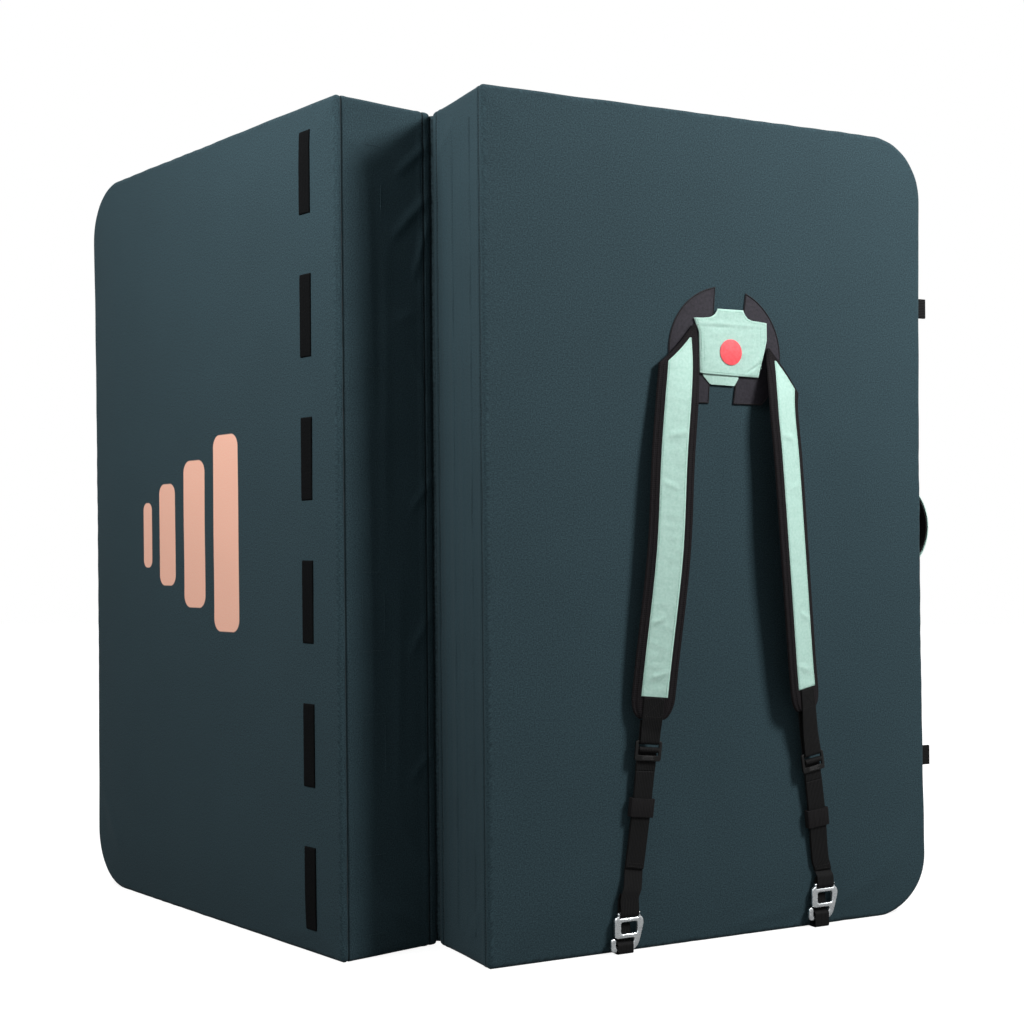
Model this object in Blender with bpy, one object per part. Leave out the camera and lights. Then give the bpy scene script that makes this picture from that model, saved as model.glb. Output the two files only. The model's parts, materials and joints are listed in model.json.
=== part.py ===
# Bouldering crash pad: two hinged foam panels that stand on edge, partly folded, with shoulder straps,
# cast hooks, closure straps and a carry handle. Lengths are in metres, +Z is up.
import math
import bpy
import bmesh
from mathutils import Vector

# Driving dimensions of the pad
padHeight = 1.000
panelWidth = 0.634
panelThickness = 0.1395
foldAngle = math.radians(103.18)  # between the two landing faces as the pad stands
clearance = 0.0003  # between pieces that touch

# Cover, its rounded edges and the crown of the ground face
fabric = 0.0010
freeCornerRadius = 0.078
seamCornerRadius = 0.005
leastRadius = 0.003
edgeRound = 0.006
crown = 0.003
crownRun = 0.090
freeEdgeDraw = 0.005
seamSteps = 2
freeSteps = 8
runSteps = 6
edgeTurnShare = 0.29
crownShares = [(0.30, 0.50), (0.65, 0.88)]  # share of the crown's run, share of its height

# Foam layers, from the landing face to the ground face
landingFoam = 0.025
baseFoam = 0.022

# Fabric hinge: a corded flap on the right panel, a plain flap on the left one
hingeStandOff = 0.0016  # from a landing face to the fold's axis
edgeStandOff = 0.0005  # from a hinge side to the fold's axis
beadRadius = 0.0010
beadSteps = 10
flapWidth = 0.045
flapThickness = 0.0008
flapMargin = 0.010

# Zip in the top of each cover
zipStart = 0.070
zipLength = 0.430
zipWidth = 0.012
zipDepthShare = 0.5
zipTapeThickness = 0.0007
coilWidth = 0.0030
coilHeight = 0.0010
sliderLength = 0.012
sliderWidth = 0.008
sliderWall = 0.0016
pullLength = 0.022
pullThickness = 0.0012
overrun = 0.004

# Hook-and-loop strips on the left panel's ground face
stripLength = 0.098
stripWidth = 0.023
stripThickness = 0.0012
stripCentre = 0.062
stripTopShare = 0.920
stripPitchShare = 0.1686
stripCount = 6

# Yoke on the right panel's ground face
yokeCentreShare = 0.5103
yokeHeightShare = 0.7095
yokeRadius = 0.081
yokeFoot = 0.0615
yokeFabric = 0.0010
yokeSteps = 8
leftGapTop, leftGapFoot = 0.0135, 0.0245
rightGapTop, rightGapFoot = 0.0305, 0.0105
yokePanelThickness = 0.0018
yokeTabThickness = 0.0009
discRadius = 0.0158
discThickness = 0.0005
discSteps = 24

# Shoulder straps
webbing = 0.025
webbingThickness = 0.0012
padWidth = 0.053
padThickness = 0.0070
padEdgeThickness = 0.0030
padSeamThickness = 0.0030
padEndLength = 0.027
padSeamSteps = 6
padRunSteps = 24
padEndWidth = 0.027
seamTipWidth = 0.004
facingWidth = 0.032
facingThickness = 0.0008
facingInset = 0.010
strapBaseLift = 0.0045
strapBow = 0.0175
strapTilt = math.radians(15.4)
seatWidthShare = 0.75

# Ladder-lock buckle, webbing keeper and cast hook
lockWidth, lockHeight, lockThickness = 0.034, 0.024, 0.0028
lockBar = 0.0026
lockUpperSlot, lockLowerSlot = 0.0069, 0.0054
lockCorner = 0.0030
slotPlay = 0.0014
keeperWidth, keeperHeight, keeperWall = 0.032, 0.022, 0.0013
runSpacing = 0.0020  # between the two runs of webbing under the buckle
hookThickness = 0.0045
hookBar = 0.0035
hookSlot = 0.0030
anchorWidth = 0.020
anchorThickness = 0.0012
wrapSteps = 8
sewnShare = 0.6  # of the way from the hook's bar to the tail end, at most, for the sewn loop
webbingStep = 0.010

# Closure tabs, closure straps and carry handle at the free edges
tabInset = 0.012
tabReach = 0.016
tabGap = 0.0020
tabShares = (0.784, 0.2005)
closureInset = 0.034
closureLength = 0.235
closureShares = (0.850, 0.370)
handleRadius = 0.062
handleReach = 0.052
handleTab = 0.030
handleWidth = 0.038
handleLayer = 0.0015
handleGripAngle = math.radians(56)
handleSteps = 16
stitchGap = 0.0008

# Colours, roughness and metallic value of each material
finishes = {
    "cover_fabric": ("3F5159", 0.85, 0.0),
    "flap_fabric": ("2C383E", 0.85, 0.0),
    "landing_foam": ("34383B", 0.90, 0.0),
    "core_foam": ("C9CDBE", 0.95, 0.0),
    "base_foam": ("34383B", 0.90, 0.0),
    "zip_tape": ("23272A", 0.80, 0.0),
    "zip_metal": ("8D9396", 0.40, 1.0),
    "hook_and_loop": ("17181A", 0.95, 0.0),
    "yoke_black": ("3A3237", 0.75, 0.0),
    "mint_fabric": ("BEE2D5", 0.80, 0.0),
    "coral_disc": ("FF545C", 0.55, 0.0),
    "strap_mesh": ("282326", 0.90, 0.0),
    "webbing_black": ("1B1819", 0.80, 0.0),
    "buckle_plastic": ("1A1819", 0.45, 0.0),
    "hook_metal": ("CDD2D4", 0.35, 1.0),
}

# The straps' runs on the ground face: height as a share of the pad's, then the centre line as a share of the
# panel's width, the bow as a share of strapBow and the tilt as a share of strapTilt
straps = {
    "left": {
        "outward": -1,
        "topShare": 0.742,
        "shoulderShare": 0.690,
        "padEndShare": 0.273,
        "facingEndShare": 0.297,
        "lockShare": 0.236,
        "keeperShare": 0.169,
        "tailShare": 0.098,
        "hookRise": 0.0,
        "centreShares": [(0.742, 0.3990), (0.720, 0.4006), (0.690, 0.3960), (0.650, 0.3863), (0.583, 0.3732),
                         (0.467, 0.3588), (0.333, 0.3336), (0.270, 0.3241), (0.236, 0.3194), (0.169, 0.3091),
                         (0.098, 0.2943), (0.048, 0.2808), (0.0, 0.2750)],
        "bowShares": [(0.742, 0.0), (0.720, 0.10), (0.690, 0.35), (0.650, 0.65), (0.583, 0.86), (0.467, 1.0),
                      (0.333, 0.77), (0.270, 0.54), (0.236, 0.43), (0.169, 0.28), (0.098, 0.15), (0.0, 0.0)],
        "tiltShares": [(0.742, 0.0), (0.720, 0.10), (0.690, 0.50), (0.650, 0.95), (0.583, 1.0), (0.300, 1.0),
                       (0.270, 0.75), (0.236, 0.35), (0.180, 0.0), (0.0, 0.0)],
    },
    "right": {
        "outward": 1,
        "topShare": 0.7165,
        "shoulderShare": 0.667,
        "padEndShare": 0.273,
        "facingEndShare": 0.295,
        "lockShare": 0.2075,
        "keeperShare": 0.1365,
        "tailShare": 0.070,
        "hookRise": 0.006,
        "centreShares": [(0.7165, 0.6443), (0.690, 0.6380), (0.650, 0.6292), (0.583, 0.6344), (0.467, 0.6450),
                         (0.333, 0.6648), (0.295, 0.6729), (0.250, 0.6845), (0.2075, 0.6959), (0.165, 0.7058),
                         (0.1365, 0.7114), (0.090, 0.7192), (0.054, 0.7279), (0.0, 0.7320)],
        "bowShares": [(0.7165, 0.0), (0.700, 0.12), (0.680, 0.34), (0.650, 0.64), (0.583, 0.86), (0.467, 1.0),
                      (0.333, 0.77), (0.270, 0.54), (0.236, 0.43), (0.1365, 0.26), (0.090, 0.15), (0.0, 0.0)],
        "tiltShares": [(0.7165, 0.0), (0.700, 0.12), (0.680, 0.50), (0.650, 0.95), (0.583, 1.0), (0.300, 1.0),
                       (0.270, 0.75), (0.236, 0.35), (0.180, 0.0), (0.0, 0.0)],
    },
}

# Yoke pieces, as shares of yokeRadius from the yoke's centre: across, up
yokePanelShares = [
    (-0.148, 0.660), (-0.160, 0.625), (-0.200, 0.575), (-0.260, 0.535), (-0.345, 0.515), (-0.565, 0.505),
    (-0.485, 0.290), (-0.475, -0.315), (0.575, -0.345), (0.610, -0.215), (0.695, 0.062), (0.735, 0.228),
    (0.735, 0.490), (0.470, 0.510), (0.390, 0.540), (0.335, 0.600), (0.310, 0.660),
]
yokeTabShares = [(-0.410, -0.300), (-0.410, -0.352), (-0.280, -0.475), (0.150, -0.485), (0.225, -0.370),
                 (0.225, -0.300)]
discPlaceShares = (0.070, 0.016)

# Cast hook, in metres from the middle of its webbing bar: across, up, anticlockwise
hookHalfWidth = 0.0195
hookShoulder = 0.0045
hookWindow = 0.0110
hookWindowHeight = 0.0120
hookCrossBar = 0.0070
hookLowerBar = 0.0060
hookMouth = 0.0080
hookFoot = 0.0058
hookTip = 0.0065
hookTipRise = 0.0070
hookLegOut, hookLegIn = 0.0205, 0.0055
hookTipOut = 0.0245


def panelPoint(side, across, depth, height):
    # A point of a panel in its frame: across from the hinge side, depth from the landing face, height
    return Vector((across + edgeStandOff, -side * (depth + hingeStandOff), height))


def smoothValue(table, at):
    # Cubic through the table's pairs, falling in their first value, with slopes from the neighbours
    pairs = sorted(table)
    at = min(max(at, pairs[0][0]), pairs[-1][0])
    slopes = []
    for i in range(len(pairs)):
        before, after = pairs[max(i - 1, 0)], pairs[min(i + 1, len(pairs) - 1)]
        slopes.append((after[1] - before[1]) / (after[0] - before[0]))
    for i in range(len(pairs) - 1):
        (x0, y0), (x1, y1) = pairs[i], pairs[i + 1]
        if at <= x1:
            run = x1 - x0
            s = (at - x0) / run
            return ((1 + 2 * s) * (1 - s) ** 2 * y0 + s * (1 - s) ** 2 * run * slopes[i]
                    + s * s * (3 - 2 * s) * y1 + s * s * (s - 1) * run * slopes[i + 1])


def linearColour(code):
    # A colour code in sRGB as linear values
    values = [int(code[i:i + 2], 16) / 255 for i in (0, 2, 4)]
    return [v / 12.92 if v <= 0.04045 else ((v + 0.055) / 1.055) ** 2.4 for v in values] + [1.0]


def finish(name):
    # The material of a piece, made once
    material = bpy.data.materials.get(name)
    if material is None:
        code, roughness, metallic = finishes[name]
        material = bpy.data.materials.new(name)
        material.use_nodes = True
        shader = material.node_tree.nodes["Principled BSDF"]
        shader.inputs["Base Color"].default_value = linearColour(code)
        shader.inputs["Roughness"].default_value = roughness
        shader.inputs["Metallic"].default_value = metallic
        material.diffuse_color = linearColour(code)
    return material


def addPiece(name, mesh, material, frame, origin=None, smooth=True):
    # A piece of its own under a panel's frame, with its origin on its joint's axis
    origin = origin or Vector((0, 0, 0))
    bmesh.ops.recalc_face_normals(mesh, faces=mesh.faces[:])
    if mesh.calc_volume(signed=True) < 0:
        bmesh.ops.reverse_faces(mesh, faces=mesh.faces[:])
    bmesh.ops.translate(mesh, verts=mesh.verts[:], vec=-origin)
    data = bpy.data.meshes.new(name)
    mesh.to_mesh(data)
    mesh.free()
    if smooth:
        data.shade_smooth()
        data.set_sharp_from_angle(angle=math.radians(35))
    data.materials.append(finish(material))
    piece = bpy.data.objects.new(name, data)
    bpy.context.collection.objects.link(piece)
    piece.parent = frame
    piece.location = origin
    return piece


def combine(piece, tool, operation):
    # Boolean of a piece with a tool, applied, after which the tool is removed
    modifier = piece.modifiers.new(operation, "BOOLEAN")
    modifier.operation = operation
    modifier.solver = "EXACT"
    modifier.object = tool
    bpy.context.view_layer.update()
    shape = piece.evaluated_get(bpy.context.evaluated_depsgraph_get())
    result = bpy.data.meshes.new_from_object(shape)
    piece.modifiers.clear()
    piece.data = result
    bpy.data.objects.remove(tool, do_unlink=True)
    return piece


def loft(rings, split=False):
    # Closed body through rings of equal count, with flat caps; split gives twisted sides a set diagonal
    mesh = bmesh.new()
    loops = [[mesh.verts.new(point) for point in ring] for ring in rings]
    for lower, upper in zip(loops, loops[1:]):
        for i in range(len(lower)):
            if split:
                mesh.faces.new((lower[i - 1], lower[i], upper[i]))
                mesh.faces.new((lower[i - 1], upper[i], upper[i - 1]))
            else:
                mesh.faces.new((lower[i - 1], lower[i], upper[i], upper[i - 1]))
    mesh.faces.new(loops[0])
    mesh.faces.new(loops[-1])
    return mesh


def plate(outline, holes, low, high, place):
    # Flat plate with holes, filled at one depth and extruded to the other
    mesh = bmesh.new()
    edges = []
    for loop in [outline] + holes:
        verts = [mesh.verts.new((x, y, low)) for x, y in loop]
        edges += [mesh.edges.new((verts[i - 1], verts[i])) for i in range(len(verts))]
    bmesh.ops.triangle_fill(mesh, use_beauty=True, edges=edges)
    grown = bmesh.ops.extrude_face_region(mesh, geom=mesh.faces[:])["geom"]
    for item in grown:
        if isinstance(item, bmesh.types.BMVert):
            item.co.z = high
    for vert in mesh.verts:
        vert.co = place(*vert.co)
    return mesh


def strip(path, thickness, halfWidth, place, split=False):
    # Band along a path in (along, out), with square corners and the given thickness
    rings = []
    for i, (x, y) in enumerate(path):
        normals = []
        for a, b in ((i - 1, i), (i, i + 1)):
            if a >= 0 and b < len(path):
                dx, dy = path[b][0] - path[a][0], path[b][1] - path[a][1]
                length = math.hypot(dx, dy)
                normals.append((-dy / length, dx / length))
        nx = sum(n[0] for n in normals) / len(normals)
        ny = sum(n[1] for n in normals) / len(normals)
        reach = thickness / 2 / (nx * nx + ny * ny)
        inner = (x - nx * reach, y - ny * reach)
        outer = (x + nx * reach, y + ny * reach)
        rings.append([place(*inner, -halfWidth), place(*inner, halfWidth),
                      place(*outer, halfWidth), place(*outer, -halfWidth)])
    return loft(rings, split)


def dense(path, step):
    # The path with its long runs divided into steps
    points = [path[0]]
    for (x0, y0), (x1, y1) in zip(path, path[1:]):
        count = max(round(math.hypot(x1 - x0, y1 - y0) / step), 1)
        points += [(x0 + (x1 - x0) * i / count, y0 + (y1 - y0) * i / count) for i in range(1, count + 1)]
    return points


def arc(centre, radius, start, end, steps):
    # Points of an arc about a centre, from one angle to another
    return [(centre[0] + radius * math.cos(start + (end - start) * i / steps),
             centre[1] + radius * math.sin(start + (end - start) * i / steps)) for i in range(steps + 1)]


def rectangle(left, foot, right, top):
    # Corners of a rectangle, anticlockwise
    return [(left, foot), (right, foot), (right, top), (left, top)]


def drawIn(across, height):
    # The free edge is drawn in towards its middle
    share = min(max(height / padHeight, 0.0), 1.0)
    return across - freeEdgeDraw * 4 * share * (1 - share) * (across / panelWidth) ** 2


def freeEdge(height):
    # Distance of the free edge from the hinge side at a height
    return drawIn(panelWidth, height)


def panelOutline(inset):
    # Outline of the panel moved inwards, anticlockwise: small corners at the hinge side, large at the free edge
    small = max(seamCornerRadius - inset, leastRadius)
    large = max(freeCornerRadius - inset, leastRadius)
    right, top = panelWidth - inset, padHeight - inset
    corners = [
        arc((inset + small, inset + small), small, math.pi, 1.5 * math.pi, seamSteps),
        arc((right - large, inset + large), large, -0.5 * math.pi, 0, freeSteps),
        arc((right - large, top - large), large, 0, 0.5 * math.pi, freeSteps),
        arc((inset + small, top - small), small, 0.5 * math.pi, math.pi, seamSteps),
    ]
    points = []
    for corner, following in zip(corners, corners[1:] + corners[:1]):
        points += corner
        (x0, y0), (x1, y1) = corner[-1], following[0]
        points += [(x0 + (x1 - x0) * i / runSteps, y0 + (y1 - y0) * i / runSteps) for i in range(1, runSteps)]
    return [(drawIn(x, y), y) for x, y in points]


def sideProfile(shrink):
    # (inset, depth) from the landing face, round the sides and up the crown of the ground face
    low, high = shrink, panelThickness - shrink
    edge = high - crown
    turn = edgeRound * edgeTurnShare
    profile = [
        (shrink + edgeRound, low),
        (shrink + turn, low + turn),
        (shrink, low + edgeRound),
        (shrink, edge - edgeRound),
        (shrink + turn, edge - turn),
        (shrink + edgeRound, edge),
    ]
    profile += [(shrink + crownRun * run, edge + crown * rise) for run, rise in crownShares]
    profile.append((shrink + crownRun, high))
    return profile


def insetAt(profile, depth):
    # Inset of a profile at a depth, between its points
    for (i0, d0), (i1, d1) in zip(profile, profile[1:]):
        if d0 <= depth <= d1:
            return i0 + (i1 - i0) * (depth - d0) / (d1 - d0)
    return profile[-1][0]


def panelBody(side, profile):
    # Solid through the panel's outline at each point of a profile
    return loft([[panelPoint(side, x, depth, z) for x, z in panelOutline(inset)] for inset, depth in profile])


def slab(side, shrink, low, high):
    # The part of the filling that lies between two depths
    profile = sideProfile(shrink)
    inner = [point for point in profile if low < point[1] < high]
    return panelBody(side, [(insetAt(profile, low), low)] + inner + [(insetAt(profile, high), high)])


def box(side, lows, highs):
    # Box in a panel's frame, from (across, depth, height) to (across, depth, height)
    outline = rectangle(lows[0], lows[1], highs[0], highs[1])
    return plate(outline, [], lows[2], highs[2], lambda x, y, z: panelPoint(side, x, y, z))


def faceLayer(side, lift, thickness):
    # Thin layer over the whole ground face, at a lift from it, which follows its crown
    profile = sideProfile(0)[5:]
    low = [(inset, depth + lift) for inset, depth in reversed(profile)]
    high = [(inset, depth + lift + thickness) for inset, depth in profile]
    return panelBody(side, low + high)


def buildFoams(name, side, frame):
    # Landing, core and base foam inside a cover
    shrink = fabric + clearance
    landingTop = shrink + landingFoam
    baseFoot = panelThickness - shrink - baseFoam
    layers = [
        ("landing_foam", shrink, landingTop),
        ("core_foam", landingTop + clearance, baseFoot - clearance),
        ("base_foam", baseFoot, panelThickness - shrink),
    ]
    for layer, low, high in layers:
        addPiece(f"{name}_{layer}", slab(side, shrink, low, high), layer, frame)


def buildCover(name, side, frame):
    # Woven cover: a shell with a slot for its zip in the top side
    cover = addPiece(f"{name}_cover", panelBody(side, sideProfile(0)), "cover_fabric", frame)
    cavity = addPiece("cavity", panelBody(side, sideProfile(fabric)), "cover_fabric", frame)
    combine(cover, cavity, "DIFFERENCE")
    middle = panelThickness * zipDepthShare
    slot = box(side, (zipStart, middle - zipWidth / 2, padHeight - fabric - overrun),
               (zipStart + zipLength, middle + zipWidth / 2, padHeight + overrun))
    combine(cover, addPiece("slot", slot, "cover_fabric", frame), "DIFFERENCE")
    cover.data.set_sharp_from_angle(angle=math.radians(35))


def buildZip(name, side, frame):
    # Zip tape with its coil in the cover's slot, and the slider that rides on the coil
    middle = panelThickness * zipDepthShare
    tapeFoot = padHeight - fabric
    tapeTop = tapeFoot + zipTapeThickness
    coilTop = tapeTop + coilHeight
    half = zipWidth / 2 - clearance
    outline = [(middle - half, tapeFoot), (middle + half, tapeFoot), (middle + half, tapeTop),
               (middle + coilWidth / 2, tapeTop), (middle + coilWidth / 2, coilTop),
               (middle - coilWidth / 2, coilTop), (middle - coilWidth / 2, tapeTop), (middle - half, tapeTop)]
    tape = plate(outline, [], zipStart + clearance, zipStart + zipLength - clearance,
                 lambda depth, z, across: panelPoint(side, across, depth, z))
    addPiece(f"{name}_zip", tape, "zip_tape", frame, smooth=False)
    legFoot = tapeTop + clearance
    roof = coilTop + clearance
    inner = coilWidth / 2 + clearance
    outline = [(middle - sliderWidth / 2, legFoot), (middle - inner, legFoot), (middle - inner, roof),
               (middle + inner, roof), (middle + inner, legFoot), (middle + sliderWidth / 2, legFoot),
               (middle + sliderWidth / 2, roof + sliderWall), (middle - sliderWidth / 2, roof + sliderWall)]
    start = zipStart + sliderLength
    slider = plate(outline, [], start, start + sliderLength,
                   lambda depth, z, across: panelPoint(side, across, depth, z))
    origin = panelPoint(side, start, middle, roof)
    piece = addPiece(f"{name}_zip_slider", slider, "zip_metal", frame, origin, smooth=False)
    pullFoot = roof + sliderWall - pullThickness / 2
    pull = box(side, (start + sliderLength / 2, middle - coilWidth / 2, pullFoot),
               (start + sliderLength / 2 + pullLength, middle + coilWidth / 2, pullFoot + pullThickness))
    combine(piece, addPiece("pull", pull, "zip_metal", frame), "UNION")


def buildHingeFlap(name, side, frame, corded):
    # Flap sewn along the landing face; the right one has the cord that lies on the fold's axis
    near, far = hingeStandOff - clearance - flapThickness, hingeStandOff - clearance
    reach = flapWidth + edgeStandOff
    if corded:
        meet = math.asin(near / beadRadius)
        outline = arc((0, 0), beadRadius, meet, -1.5 * math.pi, beadSteps) + [(0, far), (reach, far), (reach, near)]
    else:
        start = beadRadius + clearance
        outline = rectangle(start, near, reach, far)
    flap = plate(outline, [], flapMargin, padHeight - flapMargin, lambda x, y, z: Vector((x, -side * y, z)))
    addPiece(f"{name}_hinge_flap", flap, "flap_fabric", frame)


def buildStrips(side, frame):
    # Column of hook-and-loop strips, each cut from a layer that follows the ground face
    for i in range(stripCount):
        middle = padHeight * (stripTopShare - stripPitchShare * i)
        piece = addPiece(f"hook_and_loop_strip_{i + 1}", faceLayer(side, clearance, stripThickness),
                         "hook_and_loop", frame)
        tool = box(side, (stripCentre - stripWidth / 2, panelThickness - crown - overrun, middle - stripLength / 2),
                   (stripCentre + stripWidth / 2, panelThickness + overrun, middle + stripLength / 2))
        combine(piece, addPiece("tool", tool, "hook_and_loop", frame), "INTERSECT")


def yokePoint(across, up):
    # Place on the ground face of a point given from the yoke's centre
    return panelWidth * yokeCentreShare + across, padHeight * yokeHeightShare + up


def onFace(side, lift):
    # Placing function for flat pieces that lie on the ground face
    return lambda across, height, out: panelPoint(side, across, panelThickness + lift + out, height)


def buildYoke(side, frame):
    # Two black patches, a mint tab and a mint panel sewn over them, and a round label
    foot = -math.asin(yokeFoot / yokeRadius)
    for name, sign, top, low in (("left", -1, leftGapTop, leftGapFoot), ("right", 1, rightGapTop, rightGapFoot)):
        start = math.acos(top / yokeRadius)
        curve = [(sign * x, y) for x, y in arc((0, 0), yokeRadius, start, foot, yokeSteps)]
        outline = [yokePoint(*point) for point in curve + [(sign * low, -yokeFoot)]]
        patch = plate(outline, [], 0, yokeFabric, onFace(side, clearance))
        addPiece(f"yoke_{name}_patch", patch, "yoke_black", frame)
    tabLift = yokeFabric + 2 * clearance
    panelLift = tabLift + yokeTabThickness + clearance
    discLift = panelLift + yokePanelThickness + clearance
    for name, shares, lift, thickness in (
            ("yoke_lower_tab", yokeTabShares, tabLift, yokeTabThickness),
            ("yoke_panel", yokePanelShares, panelLift, yokePanelThickness)):
        outline = [yokePoint(x * yokeRadius, y * yokeRadius) for x, y in shares]
        addPiece(name, plate(outline, [], 0, thickness, onFace(side, lift)), "mint_fabric", frame)
    centre = yokePoint(discPlaceShares[0] * yokeRadius, discPlaceShares[1] * yokeRadius)
    outline = arc(centre, discRadius, 0, 2 * math.pi, discSteps)[:-1]
    addPiece("yoke_disc", plate(outline, [], 0, discThickness, onFace(side, discLift)), "coral_disc", frame)


def strapPlace(side, strap):
    # Placing function of a strap: height, distance out from its centre surface, distance across
    def place(height, out, across):
        share = height / padHeight
        step = padWidth / padHeight
        centre = panelWidth * smoothValue(strap["centreShares"], share)
        rise = (smoothValue(strap["centreShares"], share + step / 2)
                - smoothValue(strap["centreShares"], share - step / 2))
        lean = math.atan(panelWidth * rise / padWidth)
        lift = strapBaseLift + strapBow * smoothValue(strap["bowShares"], share)
        tilt = strapTilt * smoothValue(strap["tiltShares"], share)
        flat = across * math.cos(tilt) + strap["outward"] * out * math.sin(tilt)
        raised = out * math.cos(tilt) - strap["outward"] * across * math.sin(tilt)
        return panelPoint(side, centre + flat * math.cos(lean), panelThickness + lift + raised,
                          height - flat * math.sin(lean))
    return place


def strapHeights(strap):
    # Heights of the padded strap's sections, down its seam, its run and its rounded end
    top, shoulder = strap["topShare"] * padHeight, strap["shoulderShare"] * padHeight
    straight = strap["padEndShare"] * padHeight + padEndLength
    seam = [top + (shoulder - top) * i / padSeamSteps for i in range(padSeamSteps)]
    run = [shoulder + (straight - shoulder) * i / padRunSteps for i in range(padRunSteps + 1)]
    turn = [straight - padEndLength * math.sin(math.radians(angle)) for angle in (30, 55, 75, 90)]
    return seam + run + turn


def padHalf(strap, height):
    # Half width of the padded strap, which rounds in at its end
    straight = strap["padEndShare"] * padHeight + padEndLength
    depth = min(max((straight - height) / padEndLength, 0.0), 1.0)
    return padEndWidth / 2 + (padWidth - padEndWidth) / 2 * math.sqrt(1 - depth * depth)


def seamCut(strap, height):
    # Width that the slanting seam takes off the strap's outer side at a height
    top, shoulder = strap["topShare"] * padHeight, strap["shoulderShare"] * padHeight
    share = min(max((height - shoulder) / (top - shoulder), 0.0), 1.0)
    return share * (padWidth - seamTipWidth)


def padHalfThickness(strap, height):
    # Half thickness of the padded strap, thinner at its sewn top
    top, shoulder = strap["topShare"] * padHeight, strap["shoulderShare"] * padHeight
    share = min(max((top - height) / (top - shoulder), 0.0), 1.0)
    return (padSeamThickness + (padThickness - padSeamThickness) * share) / 2


def seamAxis(side, strap):
    # The slanting seam by which the strap is sewn to its patch: its outer and inner ends
    place = strapPlace(side, strap)
    half = padWidth / 2
    shoulder = place(strap["shoulderShare"] * padHeight, 0, strap["outward"] * half)
    tip = place(strap["topShare"] * padHeight, 0, -strap["outward"] * (half - seamTipWidth / 2))
    depth = panelPoint(side, 0, panelThickness + strapBaseLift, 0).y
    return Vector((shoulder.x, depth, shoulder.z)), Vector((tip.x, depth, tip.z))


def padSection(strap, height):
    # Places across the padded strap: its edges, the flat middle between its rounds, and the facing's edges
    half = padHalf(strap, height)
    inner, outer = -half, half - seamCut(strap, height)
    middle, reach = (outer + inner) / 2, (outer - inner) / 2 * seatWidthShare
    seatIn, seatOut = middle - reach, middle + reach
    faceIn = min(max(-facingWidth / 2, seatIn + reach / 8), seatOut - reach / 4)
    faceOut = min(max(min(facingWidth / 2, outer - facingInset), faceIn + reach / 8), seatOut - reach / 16)
    return inner, outer, seatIn, seatOut, faceIn, faceOut


def buildStrapPad(name, side, frame, strap):
    # Padded strap with rounded edges, and the mint facing on it
    place = strapPlace(side, strap)
    sign = strap["outward"]
    origin = sum(seamAxis(side, strap), Vector()) / 2
    padRings, facingRings = [], []
    end = strap["facingEndShare"] * padHeight
    for height in sorted(strapHeights(strap) + [end], reverse=True):
        inner, outer, seatIn, seatOut, faceIn, faceOut = padSection(strap, height)
        thick = padHalfThickness(strap, height)
        thin = thick * padEdgeThickness / padThickness
        section = [(inner, -thin), (seatIn, -thick), (seatOut, -thick), (outer, -thin), (outer, thin),
                   (seatOut, thick), (faceOut, thick), (faceIn, thick), (seatIn, thick), (inner, thin)]
        padRings.append([place(height, out, sign * across) for across, out in section])
        if height >= end and faceOut - faceIn > facingInset:
            low = thick + clearance
            high = low + facingThickness
            section = [(faceOut, low), (faceIn, low), (faceIn, high), (faceOut, high)]
            facingRings.append([place(height, out, sign * across) for across, out in section])
    addPiece(f"{name}_strap_pad", loft(padRings, split=True), "strap_mesh", frame, origin)
    addPiece(f"{name}_strap_facing", loft(facingRings, split=True), "mint_fabric", frame, origin)


def lockBars(strap):
    # Heights of the middles of the ladder-lock's top bar and middle bar
    upper = strap["lockShare"] * padHeight + (lockHeight - lockBar) / 2
    return upper, upper - lockBar - lockUpperSlot


def wrapRadius(high, wide):
    # Radius of webbing round a bar that can turn in it
    return math.hypot(high, wide) / 2 + clearance + webbingThickness / 2


def rigidPlace(place, height):
    # Placing function of a rigid piece on a strap: square to the strap at one height
    middle = place(height, 0, 0)
    along = (place(height + lockHeight, 0, 0) - place(height - lockHeight, 0, 0)).normalized()
    out = place(height, lockThickness, 0) - middle
    out = (out - out.dot(along) * along).normalized()
    across = place(height, 0, lockThickness) - middle
    across = (across - across.dot(along) * along - across.dot(out) * out).normalized()
    return lambda x, y, z: middle + x * across + y * along + z * out


def hookCentre(strap):
    # Distance of the hook's middle from the hinge side
    return panelWidth * smoothValue(strap["centreShares"], hookHeight(strap) / padHeight)


def heldPlace(side, strap):
    # Placing function of webbing, square to each rigid piece that it passes through
    place = strapPlace(side, strap)
    lock, keeper = strap["lockShare"] * padHeight, strap["keeperShare"] * padHeight
    bar, centre = hookHeight(strap), hookCentre(strap)
    surface = panelThickness + hookLift() - strapOut(strap, bar, hookLift())

    def upright(across, along, out):
        return panelPoint(side, centre + across, surface + out, bar + along)

    holds = [(lock, lockHeight, rigidPlace(place, lock)), (keeper, keeperHeight, rigidPlace(place, keeper)),
             (bar, webbing, upright)]

    def held(height, out, across):
        point = place(height, out, across)
        for middle, reach, rigid in holds:
            share = min(max(2 * abs(height - middle) / reach - 1.3, 0.0), 1.0)
            point = point.lerp(rigid(across, height - middle, out), 1 - share)
        return point
    return held


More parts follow.
